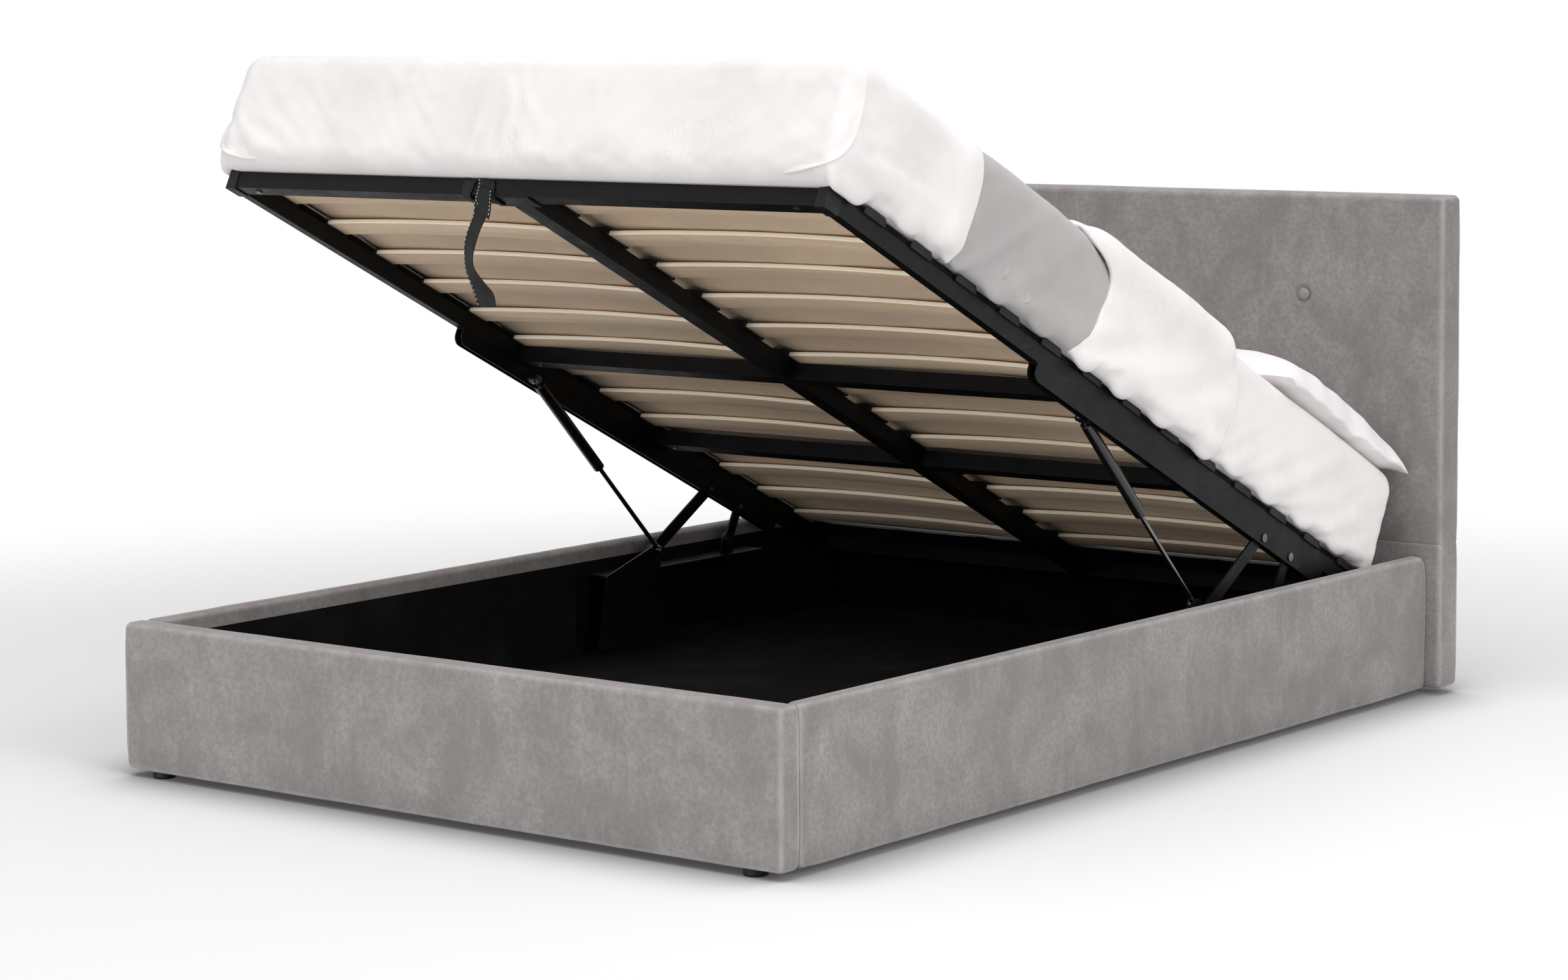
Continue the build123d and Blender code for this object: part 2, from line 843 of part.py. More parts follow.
def lift_arm():
    """Right lift arm: a channel open downwards under the side rail, with rounded noses."""
    outline = Pos((arm_start + arm_end) / 2, -arm_depth / 2) * Rectangle(
        arm_end - arm_start, arm_depth
    )
    low_corners = outline.vertices().group_by(Axis.Y)[0]
    outline = fillet(low_corners, arm_nose_radius)
    x0 = frame_half_width - arm_width
    arm = side_plate(outline, x0, frame_half_width)
    arm -= block(
        x0 + arm_wall,
        arm_outer_inside,
        arm_start - cut_margin,
        arm_end + cut_margin,
        -arm_depth - cut_margin,
        -arm_wall,
    )
    for along in (lift_pin_along, rear_pin_along):
        arm -= cross_pin((along, -lift_pin_below), x0 - cut_margin, frame_half_width + cut_margin, pin_radius)
    arm -= cross_pin(
        (strut_pin_along, -strut_pin_below), x0 - cut_margin, x0 + arm_wall + cut_margin, stud_radius
    )
    return arm


def mattress():
    y1 = mattress_start + mattress_length
    solid = block(
        -mattress_half_width, mattress_half_width, mattress_start, y1, mattress_seat, mattress_top
    )
    solid = fillet(solid.edges().filter_by(Axis.Z), mattress_corner_radius)
    caps = solid.edges().group_by(Axis.Z)
    return fillet(caps[0] + caps[-1], mattress_edge_radius)


def cover(y0, y1, side, top, drop, crown, corner):
    """A layer of bedding over the mattress: a crowned top with both sides hanging to the hem at drop."""
    inner = mattress_half_width + cover_gap
    outer = inner + side
    under = mattress_top + cover_gap
    shoulder = under + top
    outline = make_face(
        Curve()
        + [
            Line((-outer, drop), (-outer, shoulder)),
            ThreePointArc((-outer, shoulder), (0, shoulder + crown), (outer, shoulder)),
            Line((outer, shoulder), (outer, drop)),
            Line((outer, drop), (inner, drop)),
            Line((inner, drop), (inner, under)),
            Line((inner, under), (-inner, under)),
            Line((-inner, under), (-inner, drop)),
            Line((-inner, drop), (-outer, drop)),
        ]
    )
    upper = outline.vertices().filter_by(lambda v: v.Y > mattress_seat).sort_by(lambda v: abs(v.X))
    outline = fillet(upper[-2:], corner)
    upper = outline.vertices().filter_by(lambda v: v.Y > mattress_seat).sort_by(lambda v: abs(v.X))
    inner_corners = upper.filter_by(lambda v: abs(v.Y - under) < cover_gap)
    outline = fillet(inner_corners, mattress_edge_radius + cover_gap)
    return Pos(0, y1, 0) * extrude(Plane.XZ * outline, amount=y1 - y0)


def foot_sheet():
    """White sheet tucked over the foot end of the mattress."""
    band = cover(
        mattress_start + mattress_corner_radius,
        sheet_foot_end,
        sheet_thickness,
        sheet_thickness,
        cover_drop,
        sheet_crown,
        mattress_edge_radius,
    )
    inner = mattress_half_width + cover_gap
    outer = inner + sheet_thickness
    y0 = mattress_start - cover_gap - sheet_thickness
    y1 = mattress_start + mattress_corner_radius
    shell = block(-outer, outer, y0, y1, sheet_foot_drop, mattress_top + cover_gap + sheet_thickness)
    shell = fillet(shell.edges().filter_by(Axis.Z).group_by(Axis.Y)[0], mattress_corner_radius)
    top_edges = shell.faces().sort_by(Axis.Z)[-1].edges().filter_by(
        lambda e: e.center().Y < y1 - cover_gap
    )
    shell = fillet(top_edges, mattress_edge_radius)
    core = block(
        -inner,
        inner,
        mattress_start - cover_gap,
        y1 + mattress_corner_radius * 2,
        sheet_foot_drop - mattress_edge_radius * 2,
        mattress_top + cover_gap,
    )
    core = fillet(core.edges().filter_by(Axis.Z).group_by(Axis.Y)[0], mattress_corner_radius)
    core_top = core.faces().sort_by(Axis.Z)[-1].edges()
    core = fillet(core_top, mattress_edge_radius)
    return band + (shell - core)


def throw():
    """Grey throw over the foot part of the bed, with a low crown."""
    return cover(
        sheet_foot_end + cover_gap,
        throw_end,
        throw_thickness,
        throw_thickness,
        cover_drop,
        throw_crown,
        cover_corner_radius,
    )


def duvet():
    """Puffed white duvet over the middle of the bed."""
    return cover(
        throw_end + cover_gap,
        sheet_head_start,
        duvet_thickness,
        duvet_top_thickness,
        cover_drop,
        duvet_crown,
        cover_corner_radius,
    )


def head_sheet():
    """Flat sheet over the head part of the mattress, under the pillows."""
    return cover(
        sheet_head_start + cover_gap,
        mattress_start + mattress_length - mattress_corner_radius,
        sheet_thickness,
        sheet_thickness,
        cover_drop,
        sheet_crown,
        mattress_edge_radius,
    )


def pillow(x):
    """A pillow: widest at its seam, crowned above and flattened below."""
    levels_and_shares = (
        (0, pillow_base_share),
        (pillow_seam_share * pillow_height / 2, pillow_waist_share),
        (pillow_seam_share * pillow_height, 1),
        ((1 + pillow_seam_share) / 2 * pillow_height, pillow_shoulder_share),
        (pillow_height, pillow_crown_share),
    )
    sections = []
    for level, share in levels_and_shares:
        outline = RectangleRounded(
            pillow_length * share, pillow_depth * share, pillow_depth * pillow_corner_share * share
        )
        sections.append(Pos(0, 0, level) * outline)
    z = mattress_top + cover_gap + sheet_thickness + sheet_crown + cover_gap
    return Pos(x, pillow_end - pillow_depth / 2, z) * loft(sections)


def strap_turns():
    """The strap's two turns round the foot rail, side by side with a gap between them."""
    y, z = on_platform(0, 0)
    rail = Pos(y, z) * Rot(0, 0, -open_tilt) * Pos(end_rail_width / 2, rail_height / 2)
    inner = rail * Rectangle(end_rail_width + strap_gap * 2, rail_height + strap_gap * 2)
    outer = rail * RectangleRounded(
        end_rail_width + (strap_gap + strap_thickness) * 2,
        rail_height + (strap_gap + strap_thickness) * 2,
        strap_thickness,
    )
    solids = []
    for side in (-1, 1):
        x0 = strap_x + (side * strap_turn_spread - strap_turn_width) / 2
        solids.append(side_plate(outer - inner, x0, x0 + strap_turn_width).solid())
    return Compound(solids)


def pull_strap():
    """The strap's tail: it hangs from its rolled end, and bows a little towards the foot."""
    low = strap_roll[1] - strap_drop
    middle_z = (strap_roll[1] + low) / 2
    front = strap_roll[0] - strap_thickness / 2
    back = strap_roll[0] + strap_thickness / 2
    tail = make_face(
        Curve()
        + [
            Line((front, strap_roll[1]), (back, strap_roll[1])),
            ThreePointArc((back, strap_roll[1]), (back - strap_bow, middle_z), (back, low)),
            Line((back, low), (front, low)),
            ThreePointArc((front, low), (front - strap_bow, middle_z), (front, strap_roll[1])),
        ]
    )
    tail += Pos(*strap_roll) * Circle(strap_roll_radius)
    return side_plate(tail, strap_x - strap_width / 2, strap_x + strap_width / 2)


def open_platform(solid):
    """Moves a piece of the flat platform to its open place in the bed box."""
    return Pos(0, open_edge_y, open_edge_z) * Rot(-open_tilt, 0, 0) * solid


def left(solid):
    return mirror(solid, about=Plane.YZ)


def bed_box_pieces():
    middle = (foot_thickness + box_length) / 2
    return {
        "foot_panel": foot_panel(),
        "side_panel_right": side_panel(),
        "side_panel_left": left(side_panel()),
        "headboard_lower": headboard_board(0, headboard_seam_height),
        "headboard_upper": headboard_upper(),
        "headboard_buttons": buttons(),
        "headboard_back_cloth": back_cloth(),
        "glides": glides(),
        "lining_right": side_lining(),
        "lining_left": left(side_lining()),
        "lining_foot": end_lining(foot_thickness),
        "lining_head": end_lining(box_length - lining_thickness),
        "floor_board_foot": floor_board(foot_thickness + lining_thickness, middle - floor_cut_margin),
        "floor_board_head": floor_board(middle + floor_cut_margin, box_length - lining_thickness),
        "floor_batten_right": floor_batten(),
        "floor_batten_left": left(floor_batten()),
        "centre_beam": centre_beam(),
        "beam_feet": beam_feet(),
        "corner_brackets": corner_brackets(),
        "corner_bolts": corner_bolts(),
        "base_bracket_right": base_bracket(),
        "base_bracket_left": left(base_bracket()),
        "base_pivot_bolts": base_pivot_bolts(),
        "bracket_screws": bracket_screws(),
    }


def mechanism_pieces():
    return {
        "front_link_right": front_link(),
        "front_link_left": left(front_link()),
        "rear_link_right": rear_link(),
        "rear_link_left": left(rear_link()),
        "strut_cylinder_right": strut_cylinder(),
        "strut_cylinder_left": left(strut_cylinder()),
        "strut_rod_right": strut_rod(),
        "strut_rod_left": left(strut_rod()),
        "strut_end_bolts": strut_end_bolts(),
        "lift_pins": lift_pins(),
        "strap_turns": strap_turns(),
        "pull_strap": pull_strap(),
    }


def platform_pieces():
    flat = {
        "side_rail_right": side_rail(),
        "side_rail_left": left(side_rail()),
        "foot_rail": end_rail(0),
        "head_rail": end_rail(frame_length - end_rail_width),
        "centre_rail": centre_rail(),
        "centre_plate": centre_plate(),
        "cross_bar_front": cross_bar(cross_bar_front_start),
        "cross_bar_rear": cross_bar(cross_bar_rear_start),
        "corner_caps": corner_caps(),
        "frame_bolts": frame_bolts(),
        "slats_right": slats(),
        "slats_left": left(slats()),
        "slat_holders_right": outer_holders(),
        "slat_holders_left": left(outer_holders()),
        "slat_holders_centre": centre_holders(),
        "lift_arm_right": lift_arm(),
        "lift_arm_left": left(lift_arm()),
        "mattress": mattress(),
        "foot_sheet": foot_sheet(),
        "throw": throw(),
        "duvet": duvet(),
        "head_sheet": head_sheet(),
        "pillow_right": pillow(pillow_spacing / 2),
        "pillow_left": pillow(-pillow_spacing / 2),
    }
    return {name: open_platform(solid) for name, solid in flat.items()}


def place(point):
    """A point (y, z) of the bed box in the part's own frame, in metres, for reading joint axes."""
    return (round((point[0] - overall_length / 2) / 1000, 6), round((point[1] + glide_height) / 1000, 6))


def write_parts():
    os.makedirs("parts", exist_ok=True)
    pieces = {}
    pieces.update(bed_box_pieces())
    pieces.update(mechanism_pieces())
    pieces.update(platform_pieces())
    for name, solid in pieces.items():
        export_step(Pos(0, -overall_length / 2, glide_height) * solid, f"parts/{name}.step")
    print("front pivot", place(front_pivot), "lift pin", place(lift_pin))
    print("rear pivot", place(rear_pivot), "strut pin", place(strut_pin))
    print("platform travel", platform_travel, "front link travel", front_link_travel)
    print("rear link travel", rear_link_travel, "strut turn", strut_turn, "strut angle", strut_angle)
    print("strut open and closed", strut_open_length, strut_closed_length)
    print("foot edge", place(on_platform(0, 0)))
    print("strap roll", place(strap_roll))


write_parts()
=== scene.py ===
import json
import math

import bmesh
import bpy
from mathutils import Matrix, Vector, noise
from mathutils.bvhtree import BVHTree


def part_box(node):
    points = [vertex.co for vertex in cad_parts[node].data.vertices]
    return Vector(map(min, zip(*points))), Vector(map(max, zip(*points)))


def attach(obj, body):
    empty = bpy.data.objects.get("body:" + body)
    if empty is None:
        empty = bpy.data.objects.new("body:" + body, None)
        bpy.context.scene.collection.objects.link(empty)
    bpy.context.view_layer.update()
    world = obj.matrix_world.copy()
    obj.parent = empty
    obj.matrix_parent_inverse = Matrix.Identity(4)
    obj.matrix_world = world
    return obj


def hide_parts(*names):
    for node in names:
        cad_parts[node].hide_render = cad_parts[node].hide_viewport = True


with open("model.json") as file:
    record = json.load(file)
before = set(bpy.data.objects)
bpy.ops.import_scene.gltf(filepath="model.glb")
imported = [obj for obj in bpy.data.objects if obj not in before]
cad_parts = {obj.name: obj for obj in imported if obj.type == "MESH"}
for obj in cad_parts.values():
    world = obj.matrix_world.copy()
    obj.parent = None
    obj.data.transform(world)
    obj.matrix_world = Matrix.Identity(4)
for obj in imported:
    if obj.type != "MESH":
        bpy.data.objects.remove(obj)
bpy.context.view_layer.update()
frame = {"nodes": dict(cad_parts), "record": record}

# Ottoman storage bed, in metres. X runs across the bed, +Y from the foot to the headboard, +Z up.
# Pieces of the lifting platform are drawn lying flat: X across, Y along from the foot edge, Z above the
# underside of the steel frame. They are then tilted into the open place.

# The open platform
foot_edge_y = -0.846003
foot_edge_z = 1.020996
lift_tilt = math.radians(26)
open_place = Matrix.Translation((0, foot_edge_y, foot_edge_z)) @ Matrix.Rotation(-lift_tilt, 4, "X")

# Steel frame and slats
frame_half_width = 0.658
rail_wall = 0.0015
centre_rail_width = 0.040
rail_height = 0.030
end_rail_width = 0.030
slat_count = 13
slat_pitch = 0.1385
slat_start = 0.0975
slat_width = 0.053
first_slat = slat_start + slat_width / 2
slat_thickness = 0.008
slat_crown = 0.008
slat_seat = 0.0324

# Mattress and bedding
mattress_half_width = 0.675
mattress_foot = -0.030
mattress_head = 1.870
mattress_bottom = 0.0487
mattress_top = 0.2437
mattress_edge = 0.026


def srgb(red, green, blue):
    """A colour written in 0 to 255, as the linear values that shaders take."""
    linear = []
    for value in (red, green, blue):
        share = value / 255
        linear.append(share / 12.92 if share <= 0.04045 else ((share + 0.055) / 1.055) ** 2.4)
    return (*linear, 1.0)


# Shader node helpers


def tree_of(values):
    """The node tree that the linked ones among some values belong to."""
    return next(value for value in values if isinstance(value, bpy.types.NodeSocket)).id_data


def feed(socket, value):
    """Sets an input, or links it where the value comes from another node."""
    if isinstance(value, bpy.types.NodeSocket):
        socket.id_data.links.new(value, socket)
    else:
        socket.default_value = value


def add_node(tree, kind, **values):
    """A node with its settings and inputs filled in. An input is given by its name with spaces as __."""
    node = tree.nodes.new(kind)
    for key, value in values.items():
        if hasattr(node, key):
            setattr(node, key, value)
        else:
            feed(node.inputs[key.replace("__", " ")], value)
    return node


def calculate(operation, *values):
    node = add_node(tree_of(values), "ShaderNodeMath", operation=operation)
    for socket, value in zip(node.inputs, values):
        feed(socket, value)
    return node.outputs[0]


def remap(value, low, high, to_low=0.0, to_high=1.0):
    """A value mapped from one range to another, with soft ends."""
    ends = {"From__Min": low, "From__Max": high, "To__Min": to_low, "To__Max": to_high, "Value": value}
    node = add_node(value.id_data, "ShaderNodeMapRange", interpolation_type="SMOOTHSTEP", **ends)
    return node.outputs["Result"]


def blend_colours(factor, first, second):
    node = add_node(factor.id_data, "ShaderNodeMix", data_type="RGBA")
    sockets = {socket.identifier: socket for socket in (*node.inputs, *node.outputs)}
    for name, value in (("Factor_Float", factor), ("A_Color", first), ("B_Color", second)):
        feed(sockets[name], value)
    return sockets["Result_Color"]


def noise_value(vector, scale, detail=3.0, roughness=0.5, distortion=0.0):
    settings = {"Scale": scale, "Detail": detail, "Roughness": roughness, "Distortion": distortion}
    return add_node(vector.id_data, "ShaderNodeTexNoise", Vector=vector, **settings).outputs["Fac"]


def stretched(vector, scale):
    """The coordinates scaled by a different amount along each axis."""
    return add_node(vector.id_data, "ShaderNodeMapping", Vector=vector, Scale=scale).outputs[0]


def new_group(name, **inputs):
    """An empty node group and its inputs. An input of None is a vector, and any other is a number."""
    tree = bpy.data.node_groups.new(name, "ShaderNodeTree")
    for key, value in inputs.items():
        kind = "NodeSocketVector" if value is None else "NodeSocketFloat"
        socket = tree.interface.new_socket(name=key.replace("__", " "), in_out="INPUT", socket_type=kind)
        if value is not None:
            socket.default_value = value
    return tree, tree.nodes.new("NodeGroupInput").outputs


def put_out(tree, **outputs):
    """Gives a node group its outputs, each linked to its value."""
    for name in outputs:
        tree.interface.new_socket(name=name, in_out="OUTPUT", socket_type="NodeSocketFloat")
    leave = tree.nodes.new("NodeGroupOutput")
    for name, value in outputs.items():
        tree.links.new(value, leave.inputs[name])
    return tree


def use_group(group, **values):
    return add_node(tree_of(values.values()), "ShaderNodeGroup", node_tree=group, **values).outputs


def nap_group():
    """Brushed pile: soft clouds where the nap lies differently, and a fine grain."""
    tree, given = new_group("Brushed nap", Vector=None, Cloud__Size=5.0, Grain__Size=420.0)
    place, cloud_size, grain_size = given["Vector"], given["Cloud Size"], given["Grain Size"]
    smear_size = calculate("MULTIPLY", cloud_size, 4.2)
    speckle_size = calculate("MULTIPLY", grain_size, 0.36)
    return put_out(
        tree,
        Clouds=noise_value(place, cloud_size, 5.0, 0.62, 0.6),
        Smears=noise_value(stretched(place, (1.0, 1.0, 0.35)), smear_size, 4.0, 0.6),
        Speckle=noise_value(place, speckle_size, 2.0, 0.6),
        Grain=noise_value(place, grain_size, 2.0, 0.7),
    )


def weave_group():
    """Plain weave: two sets of threads that cross over two axes."""
    tree, given = new_group("Plain weave", Across=0.0, Along=0.0, Threads=700.0)
    waves = []
    for name in ("Across", "Along"):
        turn = calculate("MULTIPLY", given[name], given["Threads"])
        waves.append(calculate("SINE", turn))
    crossing = calculate("MULTIPLY", *waves)
    return put_out(tree, Height=calculate("MULTIPLY_ADD", crossing, 0.5, 0.5))


def scuff_group():
    """Handling marks: thin scratches in two directions, and dull smudges."""
    tree, given = new_group("Scuffs", Vector=None, Amount=0.5)
    place, amount = given["Vector"], given["Amount"]
    scratches = []
    for stretch in ((14.0, 420.0, 420.0), (420.0, 16.0, 300.0)):
        lines = noise_value(stretched(place, stretch), 1.0, 3.0, 0.7)
        scratches.append(remap(lines, 0.66, 0.78))
    patches = remap(noise_value(place, 9.0, 4.0, 0.6), 0.45, 0.7)
    marked = calculate("MULTIPLY", calculate("MAXIMUM", *scratches), patches)
    smudges = noise_value(place, 22.0, 5.0, 0.65)
    return put_out(
        tree,
        Scratches=calculate("MULTIPLY", marked, amount),
        Smudges=calculate("MULTIPLY", smudges, amount),
    )


def crease_group():
    """Creases pressed into cotton: thin ridges that wander, in patches, over a slight unevenness."""
    tree, given = new_group("Cotton creases", Vector=None, Size=9.0)
    place = given["Vector"]
    sizes = [calculate("MULTIPLY", given["Size"], share) for share in (1.6, 0.45, 0.8)]
    ridge_size, patch_size, uneven_size = sizes
    value = noise_value(stretched(place, (1.9, 1.5, 0.55)), ridge_size, 2.0, 0.45, 0.8)
    ridge = calculate("ABSOLUTE", calculate("SUBTRACT", value, 0.5))
    line = remap(ridge, 0.0, 0.035, 1.0, 0.0)
    patch = remap(noise_value(place, patch_size, 2.0, 0.5), 0.50, 0.66)
    uneven = noise_value(place, uneven_size, 3.0, 0.5)
    lines = calculate("MULTIPLY", line, patch)
    return put_out(tree, Height=calculate("MULTIPLY_ADD", lines, 0.35, uneven))


nap = nap_group()
weave = weave_group()
scuffs = scuff_group()
creases = crease_group()


# Finishes


def new_material(name, roughness, **settings):
    """A material, and the object coordinates that its patterns use."""
    material = bpy.data.materials.new(name)
    material.use_nodes = True
    surface = material.node_tree.nodes["Principled BSDF"].inputs
    surface["Roughness"].default_value = roughness
    for key, value in settings.items():
        surface[key.replace("__", " ")].default_value = value
    return material, add_node(material.node_tree, "ShaderNodeTexCoord").outputs["Object"]


def coat(material, colour, heights=(), roughness=None):
    """Gives a material its colour and its bumps, each a height with a strength and a depth in metres."""
    tree = material.node_tree
    surface = tree.nodes["Principled BSDF"].inputs
    feed(surface["Base Color"], colour)
    if roughness is not None:
        feed(surface["Roughness"], roughness)
    normal = None
    for height, strength, depth in heights:
        bump = add_node(tree, "ShaderNodeBump", Strength=strength, Distance=depth, Height=height)
        if normal is not None:
            feed(bump.inputs["Normal"], normal)
        normal = bump.outputs["Normal"]
    if normal is not None:
        feed(surface["Normal"], normal)
    return material


def velvet():
    """Grey brushed velvet with clouds where the pile has been stroked, and a painted sheen that makes it
    paler along its rounded edges.
    """
    material, place = new_material(
        "velvet",
        0.9,
        Sheen__Weight=0.45,
        Sheen__Roughness=0.38,
        Sheen__Tint=srgb(236, 232, 230),
        Specular__IOR__Level=0.2,
    )
    pile = use_group(nap, Vector=place, Cloud__Size=7.0, Grain__Size=360.0)
    clouds = remap(pile["Clouds"], 0.32, 0.70)
    colour = blend_colours(clouds, srgb(133, 129, 128), srgb(157, 153, 152))
    for name, low, high, most, tone in (
        ("Smears", 0.46, 0.76, 0.42, srgb(172, 168, 167)),
        ("Speckle", 0.36, 0.64, 0.45, srgb(122, 118, 117)),
        ("Grain", 0.3, 0.7, 0.30, srgb(118, 114, 113)),
    ):
        colour = blend_colours(remap(pile[name], low, high, 0.0, most), colour, tone)
    # Painted sheen: where the rim attribute marks a rounded edge, the colour is blended towards a paler grey,
    # broken up by the smears.
    rim = add_node(place.id_data, "ShaderNodeAttribute", attribute_name="rim").outputs["Fac"]
    painted_edge_sheen = calculate("MULTIPLY", rim, remap(pile["Smears"], 0.2, 0.7, 0.2, 0.7))
    colour = blend_colours(painted_edge_sheen, colour, srgb(178, 174, 173))
    return coat(material, colour, [(pile["Smears"], 0.25, 0.004), (pile["Grain"], 0.35, 0.0007)])


def felt(name, dark, light):
    """Black non-woven lining: short fibres, slightly dusty."""
    material, place = new_material(name, 0.95, Specular__IOR__Level=0.15)
    dust = remap(noise_value(place, 7.0, 5.0, 0.6), 0.45, 0.75)
    fibres = noise_value(place, 600.0, 3.0, 0.7)
    dimples = noise_value(place, 240.0, 1.0, 0.5)
    bumps = [(fibres, 0.4, 0.0006), (dimples, 0.3, 0.0008)]
    return coat(material, blend_colours(dust, dark, light), bumps)


def painted_steel():
    """Black powder coat on steel tube, with fine orange peel, scratches and dull handling marks."""
    material, place = new_material("painted_steel", 0.5, Specular__IOR__Level=0.15)
    marks = use_group(scuffs, Vector=place, Amount=0.6)
    colour = blend_colours(marks["Smudges"], srgb(5, 5, 6), srgb(19, 19, 22))
    colour = blend_colours(marks["Scratches"], colour, srgb(120, 122, 128))
    peel = noise_value(place, 900.0, 2.0, 0.5)
    return coat(material, colour, [(peel, 0.12, 0.0004)], remap(marks["Smudges"], 0.1, 0.5, 0.34, 0.58))


def gloss_black():
    """Stove-enamelled pressure tube of the gas struts."""
    material, place = new_material("strut_enamel", 0.24, Coat__Weight=0.25, Coat__Roughness=0.15)
    marks = use_group(scuffs, Vector=place, Amount=0.4)
    colour = blend_colours(marks["Smudges"], srgb(10, 10, 12), srgb(34, 34, 38))
    return coat(material, colour, (), remap(marks["Smudges"], 0.1, 0.4, 0.18, 0.36))


def bright_metal(name, base, dull, roughness):
    """Plated or ground steel, with fine marks and a slight stain."""
    material, place = new_material(name, roughness, Metallic=1.0)
    marks = use_group(scuffs, Vector=place, Amount=0.9)
    lines = noise_value(place, 900.0, 2.0, 0.5)
    uneven = remap(marks["Smudges"], 0.2, 0.8, roughness * 0.7, roughness * 1.5)
    return coat(material, blend_colours(marks["Smudges"], base, dull), [(lines, 0.08, 0.0002)], uneven)


def moulded_plastic():
    """Black moulded plastic with a fine spark-eroded texture."""
    material, place = new_material("moulded_plastic", 0.5, Specular__IOR__Level=0.25)
    mottle = noise_value(place, 40.0, 4.0, 0.6)
    colour = blend_colours(mottle, srgb(8, 8, 9), srgb(23, 23, 25))
    sparks = noise_value(place, 1400.0, 1.0, 0.5)
    return coat(material, colour, [(sparks, 0.2, 0.0002)], remap(mottle, 0.3, 0.7, 0.42, 0.6))


def slat_wood():
    """Rotary-cut birch veneer: long figure along the slat, a tone of its own, and pale plies on the edges."""
    material, place = new_material("slat_birch", 0.55, Specular__IOR__Level=0.35)
    tree = material.node_tree
    layer = add_node(tree, "ShaderNodeUVMap", uv_map="slat").outputs["UV"]
    split = add_node(tree, "ShaderNodeSeparateXYZ", Vector=layer).outputs
    through, which = split["X"], split["Y"]
    offset = add_node(tree, "ShaderNodeCombineXYZ", Z=calculate("MULTIPLY", which, 17.3))
    moved = add_node(tree, "ShaderNodeVectorMath", operation="ADD")
    tree.links.new(place, moved.inputs[0])
    tree.links.new(offset.outputs[0], moved.inputs[1])
    place = moved.outputs[0]
    figure = noise_value(stretched(place, (2.6, 46.0, 20.0)), 1.0, 5.0, 0.62, 0.7)
    pores = noise_value(stretched(place, (30.0, 900.0, 400.0)), 1.0, 2.0, 0.6)
    stain = noise_value(place, 6.0, 4.0, 0.6)
    tone = add_node(tree, "ShaderNodeTexWhiteNoise", noise_dimensions="1D", W=which).outputs["Value"]
    colour = blend_colours(remap(figure, 0.32, 0.68), srgb(228, 202, 170), srgb(244, 222, 191))
    for value, low, high, most, tint in (
        (pores, 0.56, 0.74, 0.35, srgb(158, 124, 94)),
        (tone, 0.0, 1.0, 0.45, srgb(196, 160, 140)),
        (stain, 0.62, 0.82, 0.5, srgb(158, 122, 92)),
    ):
        colour = blend_colours(remap(value, low, high, 0.0, most), colour, tint)
    plies = calculate("SINE", calculate("MULTIPLY", through, 3500.0))
    ply_colour = blend_colours(remap(plies, -1.0, 1.0), srgb(254, 238, 212), srgb(255, 248, 230))
    edge = add_node(tree, "ShaderNodeAttribute", attribute_name="edge").outputs["Fac"]
    colour = blend_colours(edge, colour, ply_colour)
    return coat(material, colour, [(pores, 0.18, 0.0004), (figure, 0.08, 0.0008)])


def batten_wood():
    """Planed softwood battens under the floor boards."""
    material, place = new_material("batten_pine", 0.7)
    figure = noise_value(stretched(place, (60.0, 2.0, 60.0)), 1.0, 5.0, 0.6, 0.8)
    colour = blend_colours(remap(figure, 0.3, 0.7), srgb(176, 140, 96), srgb(214, 184, 142))
    return coat(material, colour, [(figure, 0.2, 0.001)])


def cotton(name, light, shade, crease_size, crease_depth, sheen=0.12):
    """Washed cotton: fine threads, pressed creases, and a slightly cooler tone in some places."""
    material, place = new_material(
        name, 0.85, Sheen__Weight=sheen, Sheen__Roughness=0.5, Specular__IOR__Level=0.25
    )
    tone = remap(noise_value(place, 6.0, 4.0, 0.6), 0.35, 0.7)
    pressed = use_group(creases, Vector=place, Size=crease_size)["Height"]
    thread = noise_value(place, 1300.0, 2.0, 0.5)
    bumps = [(pressed, 0.32, crease_depth), (thread, 0.15, 0.0003)]
    return coat(material, blend_colours(tone, light, shade), bumps)


def mattress_ticking():
    """Beige-grey knitted ticking on the mattress, seen between the slats."""
    material, place = new_material("mattress_ticking", 0.9, Sheen__Weight=0.1, Sheen__Roughness=0.5)
    split = add_node(place.id_data, "ShaderNodeSeparateXYZ", Vector=place).outputs
    knit = use_group(weave, Across=split["X"], Along=split["Y"], Threads=1600.0)["Height"]
    tone = remap(noise_value(place, 5.0, 4.0, 0.6), 0.3, 0.7)
    colour = blend_colours(tone, srgb(202, 177, 150), srgb(215, 190, 162))
    pucker = noise_value(stretched(place, (16.0, 6.0, 6.0)), 1.0, 3.0, 0.6)
    return coat(material, colour, [(pucker, 0.5, 0.008), (knit, 0.25, 0.0005)])


def strap_leathercloth():
    """Dark grey coated strap with a pebbled grain."""
    material, place = new_material("strap_leathercloth", 0.66, Specular__IOR__Level=0.25)
    pebbles = add_node(place.id_data, "ShaderNodeTexVoronoi", Scale=700.0, Vector=place).outputs["Distance"]
    wear = remap(noise_value(place, 30.0, 4.0, 0.6), 0.4, 0.75)
    colour = blend_colours(wear, srgb(14, 14, 15), srgb(31, 31, 32))
    return coat(material, colour, [(pebbles, 0.35, 0.0004)])


def thread_white():
    material, place = new_material("thread", 0.8)
    twist = noise_value(place, 2500.0, 1.0, 0.5)
    return coat(material, blend_colours(twist, srgb(190, 188, 182), srgb(232, 230, 226)))


